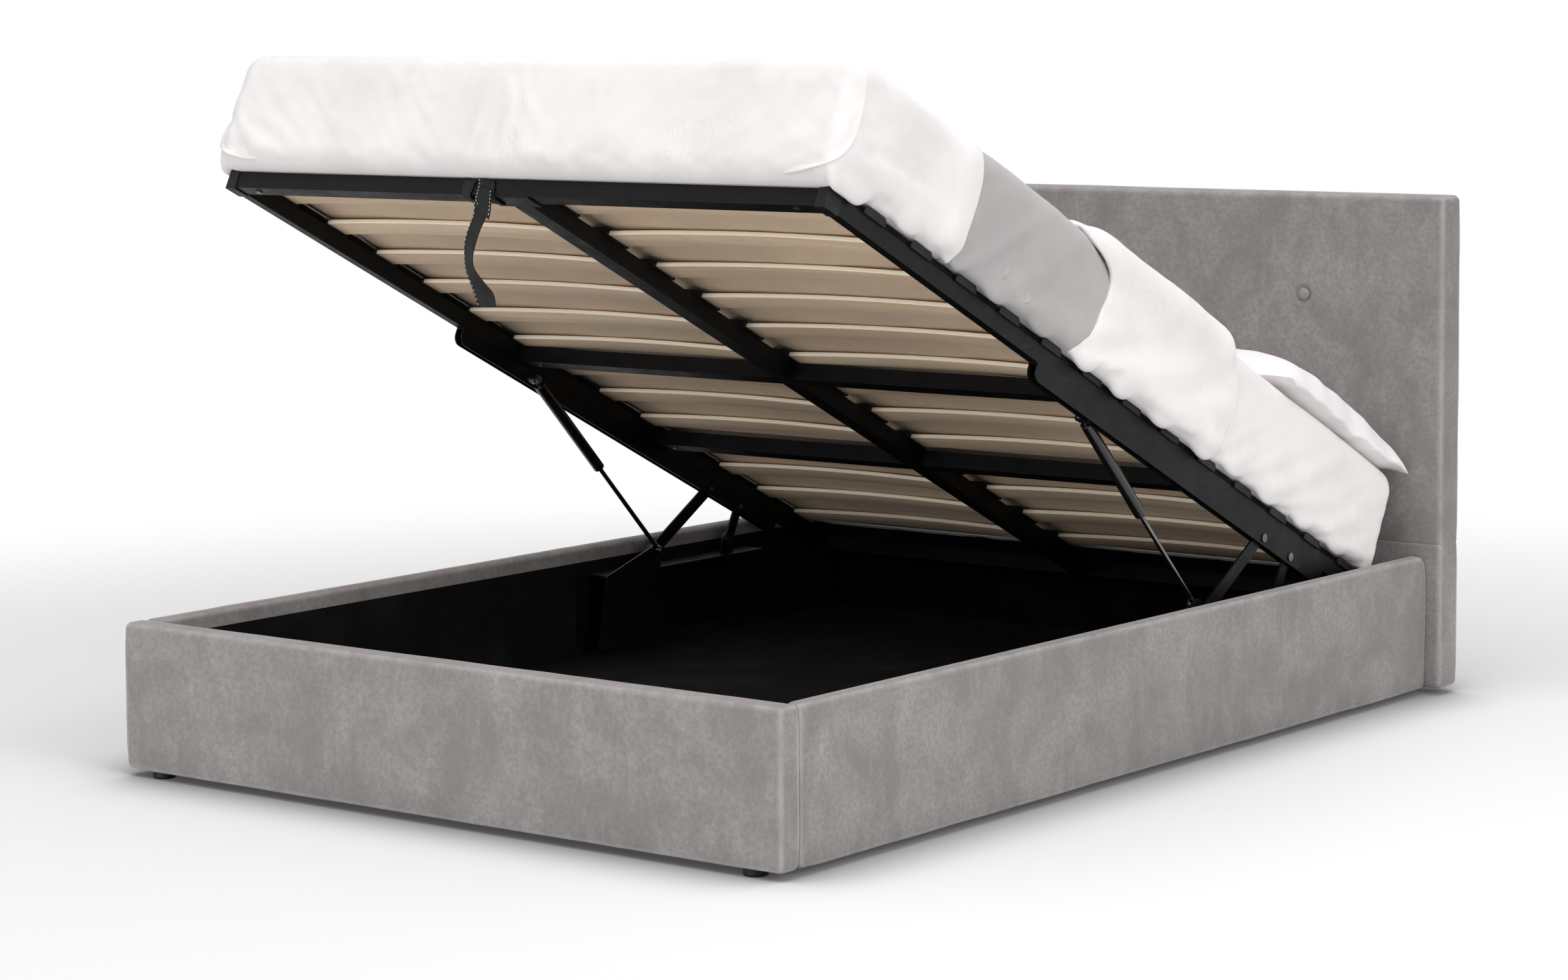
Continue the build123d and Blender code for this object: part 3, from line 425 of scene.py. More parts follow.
finishes = {
    "velvet": velvet(),
    "black_lining": felt("lining_felt", srgb(9, 9, 10), srgb(24, 23, 24)),
    "floor_cloth": felt("floor_felt", srgb(12, 12, 13), srgb(32, 31, 31)),
    "black_plastic": moulded_plastic(),
    "batten_wood": batten_wood(),
    "slat_wood": slat_wood(),
    "black_steel": painted_steel(),
    "rod_steel": bright_metal("rod_steel", srgb(150, 150, 152), srgb(70, 70, 74), 0.22),
    "zinc_steel": bright_metal("zinc_steel", srgb(128, 128, 130), srgb(62, 62, 65), 0.32),
    "webbing": strap_leathercloth(),
    "mattress_cloth": mattress_ticking(),
    "white_cotton": cotton("sheet_cotton", srgb(239, 236, 235), srgb(229, 226, 225), 11.0, 0.0045),
    "duvet_cotton": cotton("duvet_cotton", srgb(242, 239, 238), srgb(234, 231, 230), 7.0, 0.0040),
    "pillow_cotton": cotton("pillow_cotton", srgb(243, 239, 239), srgb(234, 229, 230), 8.0, 0.0030),
    "grey_throw": cotton("throw_cotton", srgb(182, 178, 178), srgb(171, 168, 168), 4.0, 0.0018, 0.25),
}
strut_enamel = gloss_black()
stitch_thread = thread_white()


# Modelling helpers

arc_steps = 3
rim_tilt = 0.22
facing = 0.7


def set_all(thing, **values):
    for key, value in values.items():
        setattr(thing, key, value)


def place_in_scene(name, data):
    made = bpy.data.objects.new(name, data)
    bpy.context.scene.collection.objects.link(made)
    return made


def add_object(name, bm):
    """An object in the scene with the mesh of a bmesh, which it uses up."""
    mesh = bpy.data.meshes.new(name)
    bm.to_mesh(mesh)
    bm.free()
    return place_in_scene(name, mesh)


def dress(piece, body, slot, replaced=(), material=None):
    """Smooths a piece, gives it the finish of its slot or another, and lets it ride on a body."""
    for polygon in piece.data.polygons:
        polygon.use_smooth = True
    piece.data.materials.append(material or finishes[slot])
    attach(piece, body)
    if replaced:
        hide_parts(*replaced)


def finish_piece(name, bm, body, slot, replaced=(), material=None):
    piece = add_object(name, bm)
    dress(piece, body, slot, replaced, material)
    return piece


def ease(low, high, value):
    """0 below low and 1 above high, with a soft step between them."""
    share = min(max((value - low) / (high - low), 0.0), 1.0)
    return share * share * (3 - 2 * share)


def add_box(bm, low, high):
    made = bmesh.ops.create_cube(bm, size=1.0)["verts"]
    bmesh.ops.scale(bm, vec=high - low, verts=made)
    bmesh.ops.translate(bm, vec=(low + high) / 2, verts=made)


def cut_across(bm, axis, places):
    """Cuts through the whole mesh at places along one axis."""
    normal = Vector([float(i == axis) for i in range(3)])
    for place in places:
        geometry = bm.verts[:] + bm.edges[:] + bm.faces[:]
        bmesh.ops.bisect_plane(bm, geom=geometry, dist=1e-7, plane_co=normal * place, plane_no=normal)


def cut_places(low, high, radius, spacing):
    """Where to cut a box along one axis so that its edges can be rounded and its faces can undulate."""
    places = []
    for step in range(arc_steps):
        inset = radius * (1 - math.tan(math.pi / 4 * step / arc_steps))
        places += [low + inset, high - inset]
    flat = high - low - 2 * radius
    count = max(1, round(flat / spacing))
    places += [low + radius + flat * i / count for i in range(1, count)]
    return sorted(places)


def cut_box(bm, low, high, radius, spacing):
    """A box cut fine, ready to be rounded over."""
    add_box(bm, low, high)
    for axis in range(3):
        cut_across(bm, axis, cut_places(low[axis], high[axis], radius, spacing))


def round_over(point, low, high, radius):
    """A point on a box moved onto the same box with rounded edges, and the outward direction there."""
    core = Vector([min(max(point[i], low[i] + radius), high[i] - radius) for i in range(3)])
    out = point - core
    if out.length < 1e-9:
        return point, Vector((0, 0, 0))
    out.normalize()
    return core + out * radius, out


def soft_block(low, high, radius, spacing, lift, corner=0.0):
    """A box cut fine, its edges rounded and its skin moved outwards by lift(point, outward direction).
    corner is the radius of its upper corner at the head end, as seen from the side."""
    bm = bmesh.new()
    # rim marks the rounded edges, where the velvet paints a paler sheen.
    rim = bm.verts.layers.float.new("rim")
    cut_box(bm, low, high, radius, spacing)
    if corner > 0:
        for axis in (1, 2):
            cut_across(bm, axis, [high[axis] - corner, high[axis] - corner * 0.75])
    for vert in bm.verts:
        rounded, out = round_over(vert.co, low, high, radius)
        vert.co = rounded + out * lift(rounded, out)
        tilted = 1 - max(abs(part) for part in out)
        vert[rim] = min(1.0, tilted / rim_tilt) if out.length > 0 else 0.0
        reach = Vector((vert.co.y - high.y + corner, vert.co.z - high.z + corner))
        if corner > 0 and reach.x > 0 and reach.y > 0:
            drawn_in = reach * max(reach) / reach.length
            vert.co.yz = (high.y - corner + drawn_in.x, high.z - corner + drawn_in.y)
    return bm


def padding(point, low, high, out, reach):
    """How far upholstery stands off its board: 0 at a face's edges, crowned and rippled past a reach."""
    share = 1.0
    for axis in range(3):
        if abs(out[axis]) <= facing:
            share *= ease(0.0, reach, min(point[axis] - low[axis], high[axis] - point[axis]))
    ripple = noise.noise(point / ripple_size) + 0.5 * noise.noise(point / ripple_size * 2.7)
    return share * (padding_crown + padding_ripple * ripple)


# Upholstery of the bed box and the headboard

panel_radius = 0.011
panel_corner = 0.022
panel_reach = 0.05
headboard_radius = 0.013
headboard_reach = 0.06
padding_spacing = 0.03
seam_allowance = 0.008
padding_crown = 0.0022
padding_ripple = 0.0011
ripple_size = 0.16
button_pull = 0.0070
button_groove = 0.0165
button_sink = 0.0010
button_hollow = 0.04
button_rise = 0.42
button_standoff = 0.0005


def cut_at_seam(bm, height, side):
    """Cuts a rounded board off flat at a seam, so that only a shallow groove stays there."""
    geometry = bm.verts[:] + bm.edges[:] + bm.faces[:]
    bmesh.ops.bisect_plane(
        bm, geom=geometry, dist=1e-7, plane_co=(0, 0, height), plane_no=(0, 0, side), clear_outer=True
    )
    bmesh.ops.contextual_create(bm, geom=[edge for edge in bm.edges if edge.is_boundary])


def padded_panel(name, node, radius, soft_sides, corner=0.0, seam=0.0):
    """A velvet panel in the place of its solid, softly crowned on the sides that are free."""
    low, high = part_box(node)
    high.z += seam

    def lift(point, out):
        free = any(out[axis] * sign > facing for axis, sign in soft_sides)
        return padding(point, low, high, out, panel_reach) if free else 0.0

    bm = soft_block(low, high, radius, padding_spacing, lift, corner)
    if seam > 0:
        cut_at_seam(bm, high.z - seam, 1)
    finish_piece(name, bm, "bed_box", "velvet", (node,))


def box_panels():
    padded_panel("foot_panel_cover", "foot_panel", panel_radius, [(1, -1), (2, 1), (0, 1), (0, -1)])
    padded_panel("side_panel_cover_right", "side_panel_right", panel_radius, [(0, 1)], panel_corner)
    padded_panel("side_panel_cover_left", "side_panel_left", panel_radius, [(0, -1)], panel_corner)


def headboard_covers():
    """The lower and upper boards. The upper one is drawn in round its buttons."""
    padded_panel(
        "headboard_cover_lower", "headboard_lower", headboard_radius, [(0, 1), (0, -1)], seam=seam_allowance
    )
    low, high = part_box("headboard_upper")
    seam_height = low.z
    low.z -= seam_allowance
    button_low, button_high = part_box("headboard_buttons")
    button_z = (button_low.z + button_high.z) / 2
    button_radius = (button_high.z - button_low.z) / 2
    button_xs = (button_low.x + button_radius, 0.0, button_high.x - button_radius)
    middles = [Vector((x, low.y, button_z)) for x in button_xs]

    def lift(point, out):
        free = out.y <= -facing or abs(out.x) >= facing or out.z >= facing
        return padding(point, low, high, out, headboard_reach) if free else 0.0

    bm = soft_block(low, high, headboard_radius, padding_spacing, lift)
    cut_at_seam(bm, seam_height, -1)
    for middle in middles:
        for reach in (0.085, 0.045):
            near = [face for face in bm.faces if (face.calc_center_median() - middle).length < reach]
            edges = list({edge for face in near for edge in face.edges})
            bmesh.ops.subdivide_edges(bm, edges=edges, cuts=2, use_grid_fill=True)
        for vert in bm.verts:
            gap = (vert.co - middle).length
            if gap < 0.2:
                vert.co.y += button_pull * math.exp(-((gap / button_groove) ** 4))
                vert.co.y += button_sink * math.exp(-((gap / button_hollow) ** 2))
    finish_piece("headboard_cover_upper", bm, "bed_box", "velvet", ("headboard_upper",))
    covered_buttons(middles, button_radius)


def covered_buttons(middles, radius):
    """Velvet-covered buttons: a shallow dome with a turned-in rim."""
    bm = bmesh.new()
    for middle in middles:
        made = bmesh.ops.create_uvsphere(bm, u_segments=40, v_segments=20, radius=radius)["verts"]
        for vert in made:
            off_middle = min(1.0, math.hypot(vert.co.x, vert.co.z) / radius)
            vert.co.y = math.copysign((1 - off_middle**5) * radius * button_rise, vert.co.y)
        bmesh.ops.translate(bm, vec=middle + Vector((0, button_standoff, 0)), verts=made)
    finish_piece("headboard_button_covers", bm, "bed_box", "velvet", ("headboard_buttons",))


# Slats

slat_fit = 0.0004
slat_easing = 0.0024
slat_edge_depth = 0.0020
# Black strips that stand in for the shade between the slat holders, as painted shade.
strip_gap = 0.033
strip_x = (0.640, 0.656)
strip_z = (0.0301, 0.0415)
strip_easing = 0.002


def long_edges(bm):
    """The edges that run along a slat."""
    return [edge for edge in bm.edges if abs(edge.verts[0].co.x - edge.verts[1].co.x) > slat_width]


def ease_edges(bm, edges, offset):
    bmesh.ops.bevel(bm, geom=edges, offset=offset, segments=3, profile=0.5, affect="EDGES", material=-1)


def slat_bars(side):
    """The sprung slats of one column, bowed upwards, with eased edges."""
    inner = centre_rail_width / 2 + slat_fit
    outer = frame_half_width - rail_wall
    half = (outer - inner) / 2
    bm = bmesh.new()
    edge_mark = bm.verts.layers.float.new("edge")
    ply_layer = bm.loops.layers.uv.new("slat")
    corner = Vector((half, slat_width / 2, slat_thickness / 2))
    add_box(bm, -corner, corner)
    ease_edges(bm, long_edges(bm), slat_easing)
    bmesh.ops.subdivide_edges(bm, edges=long_edges(bm), cuts=15, use_grid_fill=True)
    for face in bm.faces:
        for loop in face.loops:
            loop[ply_layer].uv = (loop.vert.co.z, 0.0)
    for vert in bm.verts:
        vert[edge_mark] = float(abs(vert.co.y) > slat_width / 2 - slat_edge_depth)
        vert.co.z += slat_crown * (1 - (vert.co.x / half) ** 2)
    first_place = ((inner + outer) / 2, first_slat, slat_seat + slat_thickness / 2)
    bmesh.ops.translate(bm, vec=first_place, verts=bm.verts)
    first = bm.verts[:] + bm.edges[:] + bm.faces[:]
    for index in range(1, slat_count):
        copy = bmesh.ops.duplicate(bm, geom=first)["geom"]
        moved = [item for item in copy if isinstance(item, bmesh.types.BMVert)]
        bmesh.ops.translate(bm, vec=(0, slat_pitch * index, 0), verts=moved)
        for face in copy:
            if isinstance(face, bmesh.types.BMFace):
                for loop in face.loops:
                    loop[ply_layer].uv.y = index + (slat_count if side > 0 else 0)
    if side < 0:
        bmesh.ops.scale(bm, vec=(-1, 1, 1), verts=bm.verts)
        bmesh.ops.reverse_faces(bm, faces=bm.faces)
    bm.transform(open_place)
    name = "right" if side > 0 else "left"
    finish_piece(f"slat_bars_{name}", bm, "platform", "slat_wood", (f"slats_{name}",))


def rail_strips():
    """Painted shade: black strips on the side rails between the slat holders, under the edge of the mattress,
    put where that gap lies in shade, with the lining felt's finish.
    """
    stops = [end_rail_width - strip_gap] + [first_slat + slat_pitch * index for index in range(slat_count)]
    bm = bmesh.new()
    for start, end in zip(stops, stops[1:]):
        for near, far in (strip_x, (-strip_x[1], -strip_x[0])):
            low = Vector((near, start + strip_gap, strip_z[0]))
            add_box(bm, low, Vector((far, end - strip_gap, strip_z[1])))
    ease_edges(bm, bm.edges[:], strip_easing)
    bm.transform(open_place)
    finish_piece("rail_shade_strips", bm, "platform", "black_lining")


# Bedding

settle_frames = 20
quilt_height = 0.0025
quilt_scale = 9
mattress_inset = 0.002
cover_radius = 0.036
cover_below = 0.0035
tuck_depth = 0.036
holder_zone = (0.028, 0.056)
hem_zone = (frame_half_width + 0.003, frame_half_width + 0.012)
hem_top = 0.115
hem_drop = 0.021
hem_lift = 0.015
hem_ripple = 0.005
edge_waver = 0.006
least_gap = 0.003
lip_standoff = 0.0006
sheet_foot = -0.036
sheet_edge = 0.322
sheet_edge_lift = 0.0100
sheet_rail_tuck = 0.0125
sheet_thickness = 0.0022
throw_foot = 0.296
throw_head = 0.745
throw_under_duvet = 0.005
throw_under_sheet = 0.0035
throw_thickness = 0.0035
duvet_foot = 0.700
duvet_head = 1.205
duvet_loft = 0.020
duvet_least = 0.004
duvet_thickness = 0.010
gather_height = 0.0055
gather_start = duvet_foot + 0.01
head_sheet_foot = 1.16
head_sheet_end = 1.8735


def mattress_block():
    """The mattress, softly quilted."""
    low = Vector((-mattress_half_width, mattress_foot, mattress_bottom))
    high = Vector((mattress_half_width, mattress_head, mattress_top))

    def lift(point, out):
        quilted = quilt_height * noise.noise(point * quilt_scale) if abs(out.z) > 0.9 else 0.0
        return quilted - mattress_inset

    return soft_block(low, high, mattress_edge, 0.05, lift)


def at_holder(along_bed):
    """1 beside a slat holder and 0 between two of them."""
    nearest = min(max(round((along_bed - first_slat) / slat_pitch), 0), slat_count - 1)
    return 1 - ease(*holder_zone, abs(along_bed - first_slat - nearest * slat_pitch))


def cover_shell(foot, head, gap, spacing, open_foot, open_head):
    """A cover wrapped round the mattress as an open shell, tucked in below. Either end may be open."""
    beyond = cover_radius * 2
    half = mattress_half_width + gap
    low = Vector((-half, foot - beyond * open_foot, mattress_bottom - cover_below))
    high = Vector((half, head + beyond * open_head, mattress_top + gap))
    bm = bmesh.new()
    cut_box(bm, low, high, cover_radius, spacing)
    cut_across(bm, 1, [place for place, is_open in ((foot, open_foot), (head, open_head)) if is_open])
    extra = []
    for face in bm.faces:
        middle = face.calc_center_median()
        past_end = (open_foot and middle.y < foot) or (open_head and middle.y > head)
        beneath = middle.z < low.z + 0.001 and abs(middle.x) < half - tuck_depth
        at_foot = not open_foot and middle.y < foot + tuck_depth
        at_head = not open_head and middle.y > head - tuck_depth
        if past_end or (beneath and not at_foot and not at_head):
            extra.append(face)
    bmesh.ops.delete(bm, geom=extra, context="FACES")
    for vert in bm.verts:
        vert.co, _ = round_over(vert.co, low, high, cover_radius)
        outside = ease(*hem_zone, abs(vert.co.x))
        ruffle = hem_drop - hem_lift * at_holder(vert.co.y) + hem_ripple * noise.noise(vert.co * 14)
        vert.co.z -= ruffle * outside * (1 - ease(mattress_bottom, hem_top, vert.co.z))
    return bm


def bend_edge(bm, end, reach, heights, shifts):
    """Moves one open edge along the bed by an amount that changes with height, fading over a reach."""
    for vert in bm.verts:
        share = 1 - ease(0.0, reach, abs(vert.co.y - end))
        if share > 0:
            level = min(max(vert.co.z, heights[0]), heights[-1])
            index = next(i for i in range(1, len(heights)) if level <= heights[i])
            part = ease(heights[index - 1], heights[index], level)
            shift = shifts[index - 1] + (shifts[index] - shifts[index - 1]) * part
            wave = edge_waver * noise.noise(Vector((vert.co.x * 7, end * 10, vert.co.z * 9)))
            vert.co.y += (shift + wave) * share


def crease_out(bm, size, depth, seed):
    """Starts soft irregular folds in a cover, so that it settles into creases that are not even."""
    bm.normal_update()
    for vert in bm.verts:
        place = vert.co + Vector((seed, seed * 0.7, 0))
        wave = noise.noise(Vector((place.x / size, place.y / size, place.z / (size * 2.5))))
        ripple = noise.noise(place / (size * 0.4))
        above = ease(mattress_bottom, mattress_bottom + 0.06, vert.co.z)
        vert.co += vert.normal * depth * (wave + 0.4 * ripple) * above


def in_order(bm):
    """The same mesh with its parts in an order that only their places decide. Solidify leaves them in an
    order that changes from run to run, and the cloth would then settle a little differently."""
    verts = sorted(bm.verts, key=lambda vert: vert.co[:])
    for index, vert in enumerate(verts):
        vert.index = index
    rings = []
    for face in bm.faces:
        ring = [vert.index for vert in face.verts]
        first = ring.index(min(ring))
        rings.append(ring[first:] + ring[:first])
    mesh = bpy.data.meshes.new("ordered")
    mesh.from_pydata([vert.co[:] for vert in verts], [], sorted(rings))
    bm.clear()
    bm.from_mesh(mesh)
    bpy.data.meshes.remove(mesh)
    return bm


def settle(name, bm, growth, stiffness, reach, pressure=0.0):
    """Lets a cover settle as cloth on the mattress. growth is spare cloth, and reach the most it may move."""
    piece = add_object(name, bm)
    scene = bpy.context.scene
    start = [vert.co.copy() for vert in piece.data.vertices]
    held = piece.vertex_groups.new(name="held")
    held.add([i for i, place in enumerate(start) if place.z < mattress_bottom + 0.001], 1.0, "REPLACE")
    cloth = piece.modifiers.new("settle", "CLOTH")
    set_all(
        cloth.settings,
        quality=5,
        mass=0.2,
        tension_stiffness=15,
        compression_stiffness=15,
        shear_stiffness=5,
        bending_stiffness=stiffness,
        shrink_min=-growth,
        vertex_group_mass="held",
        use_pressure=pressure > 0,
        uniform_pressure_force=pressure,
    )
    cloth.collision_settings.distance_min = least_gap
    set_all(cloth.point_cache, frame_start=1, frame_end=settle_frames)
    for number in range(1, settle_frames + 1):
        scene.frame_set(number)
    settled = piece.evaluated_get(bpy.context.evaluated_depsgraph_get()).to_mesh()
    for vert, place, moved in zip(piece.data.vertices, start, settled.vertices):
        step = moved.co - place
        vert.co = place + step * min(1.0, reach / max(step.length, 1e-9))
    piece.modifiers.clear()
    piece.vertex_groups.clear()
    scene.frame_set(1)
    return piece


def lay_soft(piece, slot, replaced):
    """Lays a settled soft piece on the open platform, smooth and with its finish."""
    piece.data.transform(open_place)
    set_all(piece.modifiers.new("smooth", "SUBSURF"), levels=1, render_levels=1)
    dress(piece, "platform", slot, replaced)


def thicken(piece, thickness):
    set_all(piece.modifiers.new("thickness", "SOLIDIFY"), thickness=thickness, offset=1.0)


def along(path, share):
    """The middle and the half width of a band at a share of its path, eased between the path's points."""
    place = min(max(share, 0.0), 0.99999) * (len(path) - 1)
    index = int(place)
    part = place - index
    rows = [path[min(max(index + i, 0), len(path) - 1)] for i in (-1, 0, 1, 2)]
    values = []
    for a, b, c, d in zip(*rows):
        first = (c - a) * (part / 2)
        second = (a * 2 - b * 5 + c * 4 - d) * (part**2 / 2)
        third = (b * 3 - a - c * 3 + d) * (part**3 / 2)
        values.append(b + first + second + third)
    return values


def lay_strip(bm, path, across, steps):
    """A strip of faces that follows a path of middles and half widths."""
    made = bmesh.ops.create_grid(bm, x_segments=across, y_segments=steps, size=1.0)["verts"]
    for vert in made:
        middle, half = along(path, (vert.co.y + 1) / 2)
        vert.co = middle + half * vert.co.x
    return list({face for vert in made for face in vert.link_faces})


def add_lips(piece, lines, half, height):
    """Fold lips on a settled cover: narrow strips of its cloth whose outer edge stands proud of it.
    Each line is points in flat coordinates, laid onto the nearest cloth, and is mirrored to the left."""
    bm = bmesh.new()
    bm.from_mesh(piece.data)
    skin = BVHTree.FromBMesh(bm)
    for line in lines:
        for side in (1, -1):
            laid = [skin.find_nearest(Vector((x * side, y, z)))[:2] for x, y, z in line]
            last = len(laid) - 1
            path = []
            for index, (place, normal) in enumerate(laid):
                ahead = laid[min(index + 1, last)][0] - laid[max(index - 1, 0)][0]
                outer = normal.cross(ahead).normalized() * side
                end_share = min(1.0, index * 0.8 + 0.2, (last - index) * 0.8 + 0.2)
                path.append((place + normal * lip_standoff, (outer * half + normal * height) * end_share))
            faces = lay_strip(bm, path, 3, len(line) * 3)
            for face in faces:
                face.normal_update()
            turned = [f for f in faces if f.normal.dot(skin.find_nearest(f.calc_center_median())[1]) < 0]
            bmesh.ops.reverse_faces(bm, faces=turned)
    bm.to_mesh(piece.data)
    bm.free()


def bed_linen():
    """The mattress and everything that lies on it. Gravity acts square to the open platform."""
    bpy.context.scene.gravity = (0, 9.81 * math.sin(lift_tilt), -9.81 * math.cos(lift_tilt))
    support = add_object("mattress_support", mattress_block())
    support.modifiers.new("collision", "COLLISION")
    set_all(support.collision, thickness_outer=0.002, cloth_friction=20)

    throw()
    foot_sheet()
    head_sheet()
    duvet()
    pillows()

    bpy.data.objects.remove(support)
    bm = mattress_block()
    bm.transform(open_place)
    piece = finish_piece("mattress_body", bm, "platform", "mattress_cloth", ("mattress",))


foot_corner_fold = [
    (0.6715, -0.0233, 0.246),
    (0.6743, -0.0195, 0.2125),
    (0.6778, -0.0123, 0.175),
    (0.6778, -0.0123, 0.140),
    (0.6778, -0.0123, 0.109),
    (0.6704, -0.0245, 0.072),
    (0.6440, -0.0370, 0.056),
    (0.6085, -0.0370, 0.048),
    (0.5805, -0.0370, 0.034),
]
throw_pleats = [
    [(0.690, 0.470, 0.100), (0.690, 0.466, 0.086), (0.690, 0.462, 0.072)],
    [(0.690, 0.545, 0.082), (0.690, 0.543, 0.070), (0.690, 0.540, 0.058)],
]


def foot_sheet():
    """The fitted sheet's foot end, its edge laid over the throw and its face tucked in at the foot rail."""
    bm = cover_shell(sheet_foot, sheet_edge, 0.005, 0.013, False, True)
    bend_edge(bm, sheet_edge, 0.16, (0.05, 0.16, 0.25), (0.0, 0.014, -0.004))
    bm.normal_update()
    for vert in bm.verts:
        over_throw = ease(0.265, 0.300, vert.co.y) * ease(mattress_bottom, mattress_bottom + 0.03, vert.co.z)
        vert.co += vert.normal * sheet_edge_lift * over_throw
        at_rail = (1 - ease(0.055, 0.085, vert.co.y)) * (1 - ease(mattress_bottom, 0.11, vert.co.z))
        vert.co.z -= sheet_rail_tuck * at_rail
    crease_out(bm, 0.13, 0.004, 3.0)
    piece = settle("foot_sheet_cloth", bm, 0.012, 0.2, 0.006)
    add_lips(piece, [foot_corner_fold], 0.008, 0.0055)
    lay_soft(piece, "white_cotton", ("foot_sheet",))
    thicken(piece, sheet_thickness)


def throw():
    """The grey throw, wrapped round the mattress between the sheet and the duvet."""
    bm = cover_shell(throw_foot, throw_head, 0.006, 0.014, True, True)
    unbent = [vert.co.y for vert in bm.verts]
    bend_edge(bm, throw_foot, 0.07, (0.05, 0.10, 0.25), (0.020, 0.006, 0.0))
    bend_edge(bm, throw_head, 0.25, (0.05, 0.11, 0.19, 0.25), (0.014, 0.040, 0.050, -0.030))
    bm.normal_update()
    for vert, place in zip(bm.verts, unbent):
        vert.co -= vert.normal * throw_under_duvet * ease(0.695, 0.720, place)
        vert.co -= vert.normal * throw_under_sheet * (1 - ease(0.325, 0.350, place))
    crease_out(bm, 0.28, 0.005, 11.0)
    piece = settle("throw_cloth", bm, 0.008, 1.0, 0.006)
    add_lips(piece, throw_pleats, 0.007, 0.0060)
    lay_soft(piece, "grey_throw", ("throw",))
    thicken(piece, throw_thickness)


def head_sheet():
    """The fitted sheet's head end, under the pillows."""
    bm = cover_shell(head_sheet_foot, head_sheet_end, 0.004, 0.015, True, False)
    crease_out(bm, 0.20, 0.003, 23.0)
    piece = settle("head_sheet_cloth", bm, 0.010, 0.4, 0.006)
    lay_soft(piece, "white_cotton", ("head_sheet",))
    thicken(piece, sheet_thickness)


def duvet():
    """The duvet: a closed padded wrap, thick on top, gathered along its foot edge."""
    bm = cover_shell(duvet_foot, duvet_head, 0.014, 0.015, True, True)
    unbent = [vert.co.y for vert in bm.verts]
    bend_edge(bm, duvet_foot, 0.24, (0.05, 0.11, 0.19, 0.25), (0.016, 0.044, 0.056, -0.044))
    bend_edge(bm, duvet_head, 0.20, (0.05, 0.15, 0.25), (0.024, 0.028, -0.006))
    bm.normal_update()
    for vert, place in zip(bm.verts, unbent):
        full = ease(-0.02, 0.06, place - duvet_foot) * ease(-0.01, 0.05, duvet_head - place)
        loft = duvet_loft * ease(0.18, mattress_top, vert.co.z) + duvet_least
        gather = gather_height * math.sin(vert.co.x * 85 + vert.co.z * 120 + 4 * noise.noise(vert.co * 10))
        gather *= ease(-0.02, 0.02, place - duvet_foot) * (1 - ease(0.0, 0.11, place - gather_start))
        vert.co += vert.normal * (loft * full + gather * ease(mattress_bottom, 0.08, vert.co.z))
    crease_out(bm, 0.14, 0.005, 31.0)
    bm.normal_update()
    bmesh.ops.solidify(bm, geom=bm.faces[:], thickness=duvet_thickness)
    bmesh.ops.recalc_face_normals(bm, faces=bm.faces)
    piece = settle("duvet_puff", in_order(bm), 0.015, 0.3, 0.008, 0.8)
    lay_soft(piece, "duvet_cotton", ("duvet",))


pillow_length = 0.690
pillow_depth = 0.500
pillow_thickness = 0.118
pillow_flange = 0.009
pillow_x = 0.352
pillow_head = 1.880
pillow_rise = 0.026


def pillow_form(centre, seed):
    """A filled pillow case with a flat hem all round and corners that stay pointed."""
    hem_u = 1 - pillow_flange * 2 / pillow_length
    hem_v = 1 - pillow_flange * 2 / pillow_depth
    bm = bmesh.new()
    bmesh.ops.create_grid(bm, x_segments=62, y_segments=46, size=1.0)
    bmesh.ops.solidify(bm, geom=bm.faces[:], thickness=0.01)
    for vert in bm.verts:
        u, v = vert.co.x, vert.co.y
        share, hem = (0.86, 0.0015) if vert.co.z > -0.005 else (-0.18, -0.0015)
        fill_u = max(0.0, 1 - abs(u / hem_u) ** 2.6)
        fill_v = max(0.0, 1 - abs(v / hem_v) ** 2.6)
        full = (fill_u * fill_v) ** 0.40
        drawn_u = 1 - 0.040 * (1 - v * v)
        drawn_v = 1 - 0.055 * (1 - u * u)
        creased = noise.noise(Vector((u * 3.1 + seed, v * 3.3, 0.0)))
        creased += 0.5 * noise.noise(Vector((u * 8, v * 8, seed)))
        rays = math.sin(math.atan2(abs(v), abs(u)) * 22 + seed) * (abs(u) * abs(v)) ** 1.5
        puff = full * (1 + 0.06 * creased) + 0.05 * rays * (1 - full)
        waves = 0.012 * noise.noise(Vector((u * 4, v * 4, seed * 3))) * ease(0.80, 1.0, max(abs(u), abs(v)))
        droop = -0.010 * max(0.0, abs(u) - 0.80) - 0.012 * max(0.0, abs(v) - 0.85)
        x = u * drawn_u * pillow_length / 2
        y = v * drawn_v * pillow_depth / 2
        vert.co = Vector((x, y, share * puff * pillow_thickness + droop + waves + hem))
    bmesh.ops.translate(bm, vec=centre, verts=bm.verts)
    bmesh.ops.recalc_face_normals(bm, faces=bm.faces)
    return bm


def pillows():
    """Two pillows at the head end."""
    for name, side in (("right", 1), ("left", -1)):
        centre = Vector((side * pillow_x, pillow_head - pillow_depth / 2, mattress_top + pillow_rise))
        bm = pillow_form(centre, 4.0 + side)
        piece = settle(f"pillow_{name}_case", in_order(bm), 0.012, 0.3, 0.008, 0.8)
        lay_soft(piece, "pillow_cotton", (f"pillow_{name}",))


# Pull strap

strap_thickness = 0.0022
strap_standoff = 0.0016
rail_corner = 0.005
stitch_step = 0.0066
stitch_radius = 0.00055
stitch_length = 3.6
stitch_places = 60


def strap_bands(*bands):
    """Flat bands with their thickness, each given by its path and the number of steps along it."""
    bm = bmesh.new()
    for path, steps in bands:
        bmesh.ops.solidify(bm, geom=lay_strip(bm, path, 6, steps), thickness=strap_thickness)
    bmesh.ops.recalc_face_normals(bm, faces=bm.faces)
    return bm


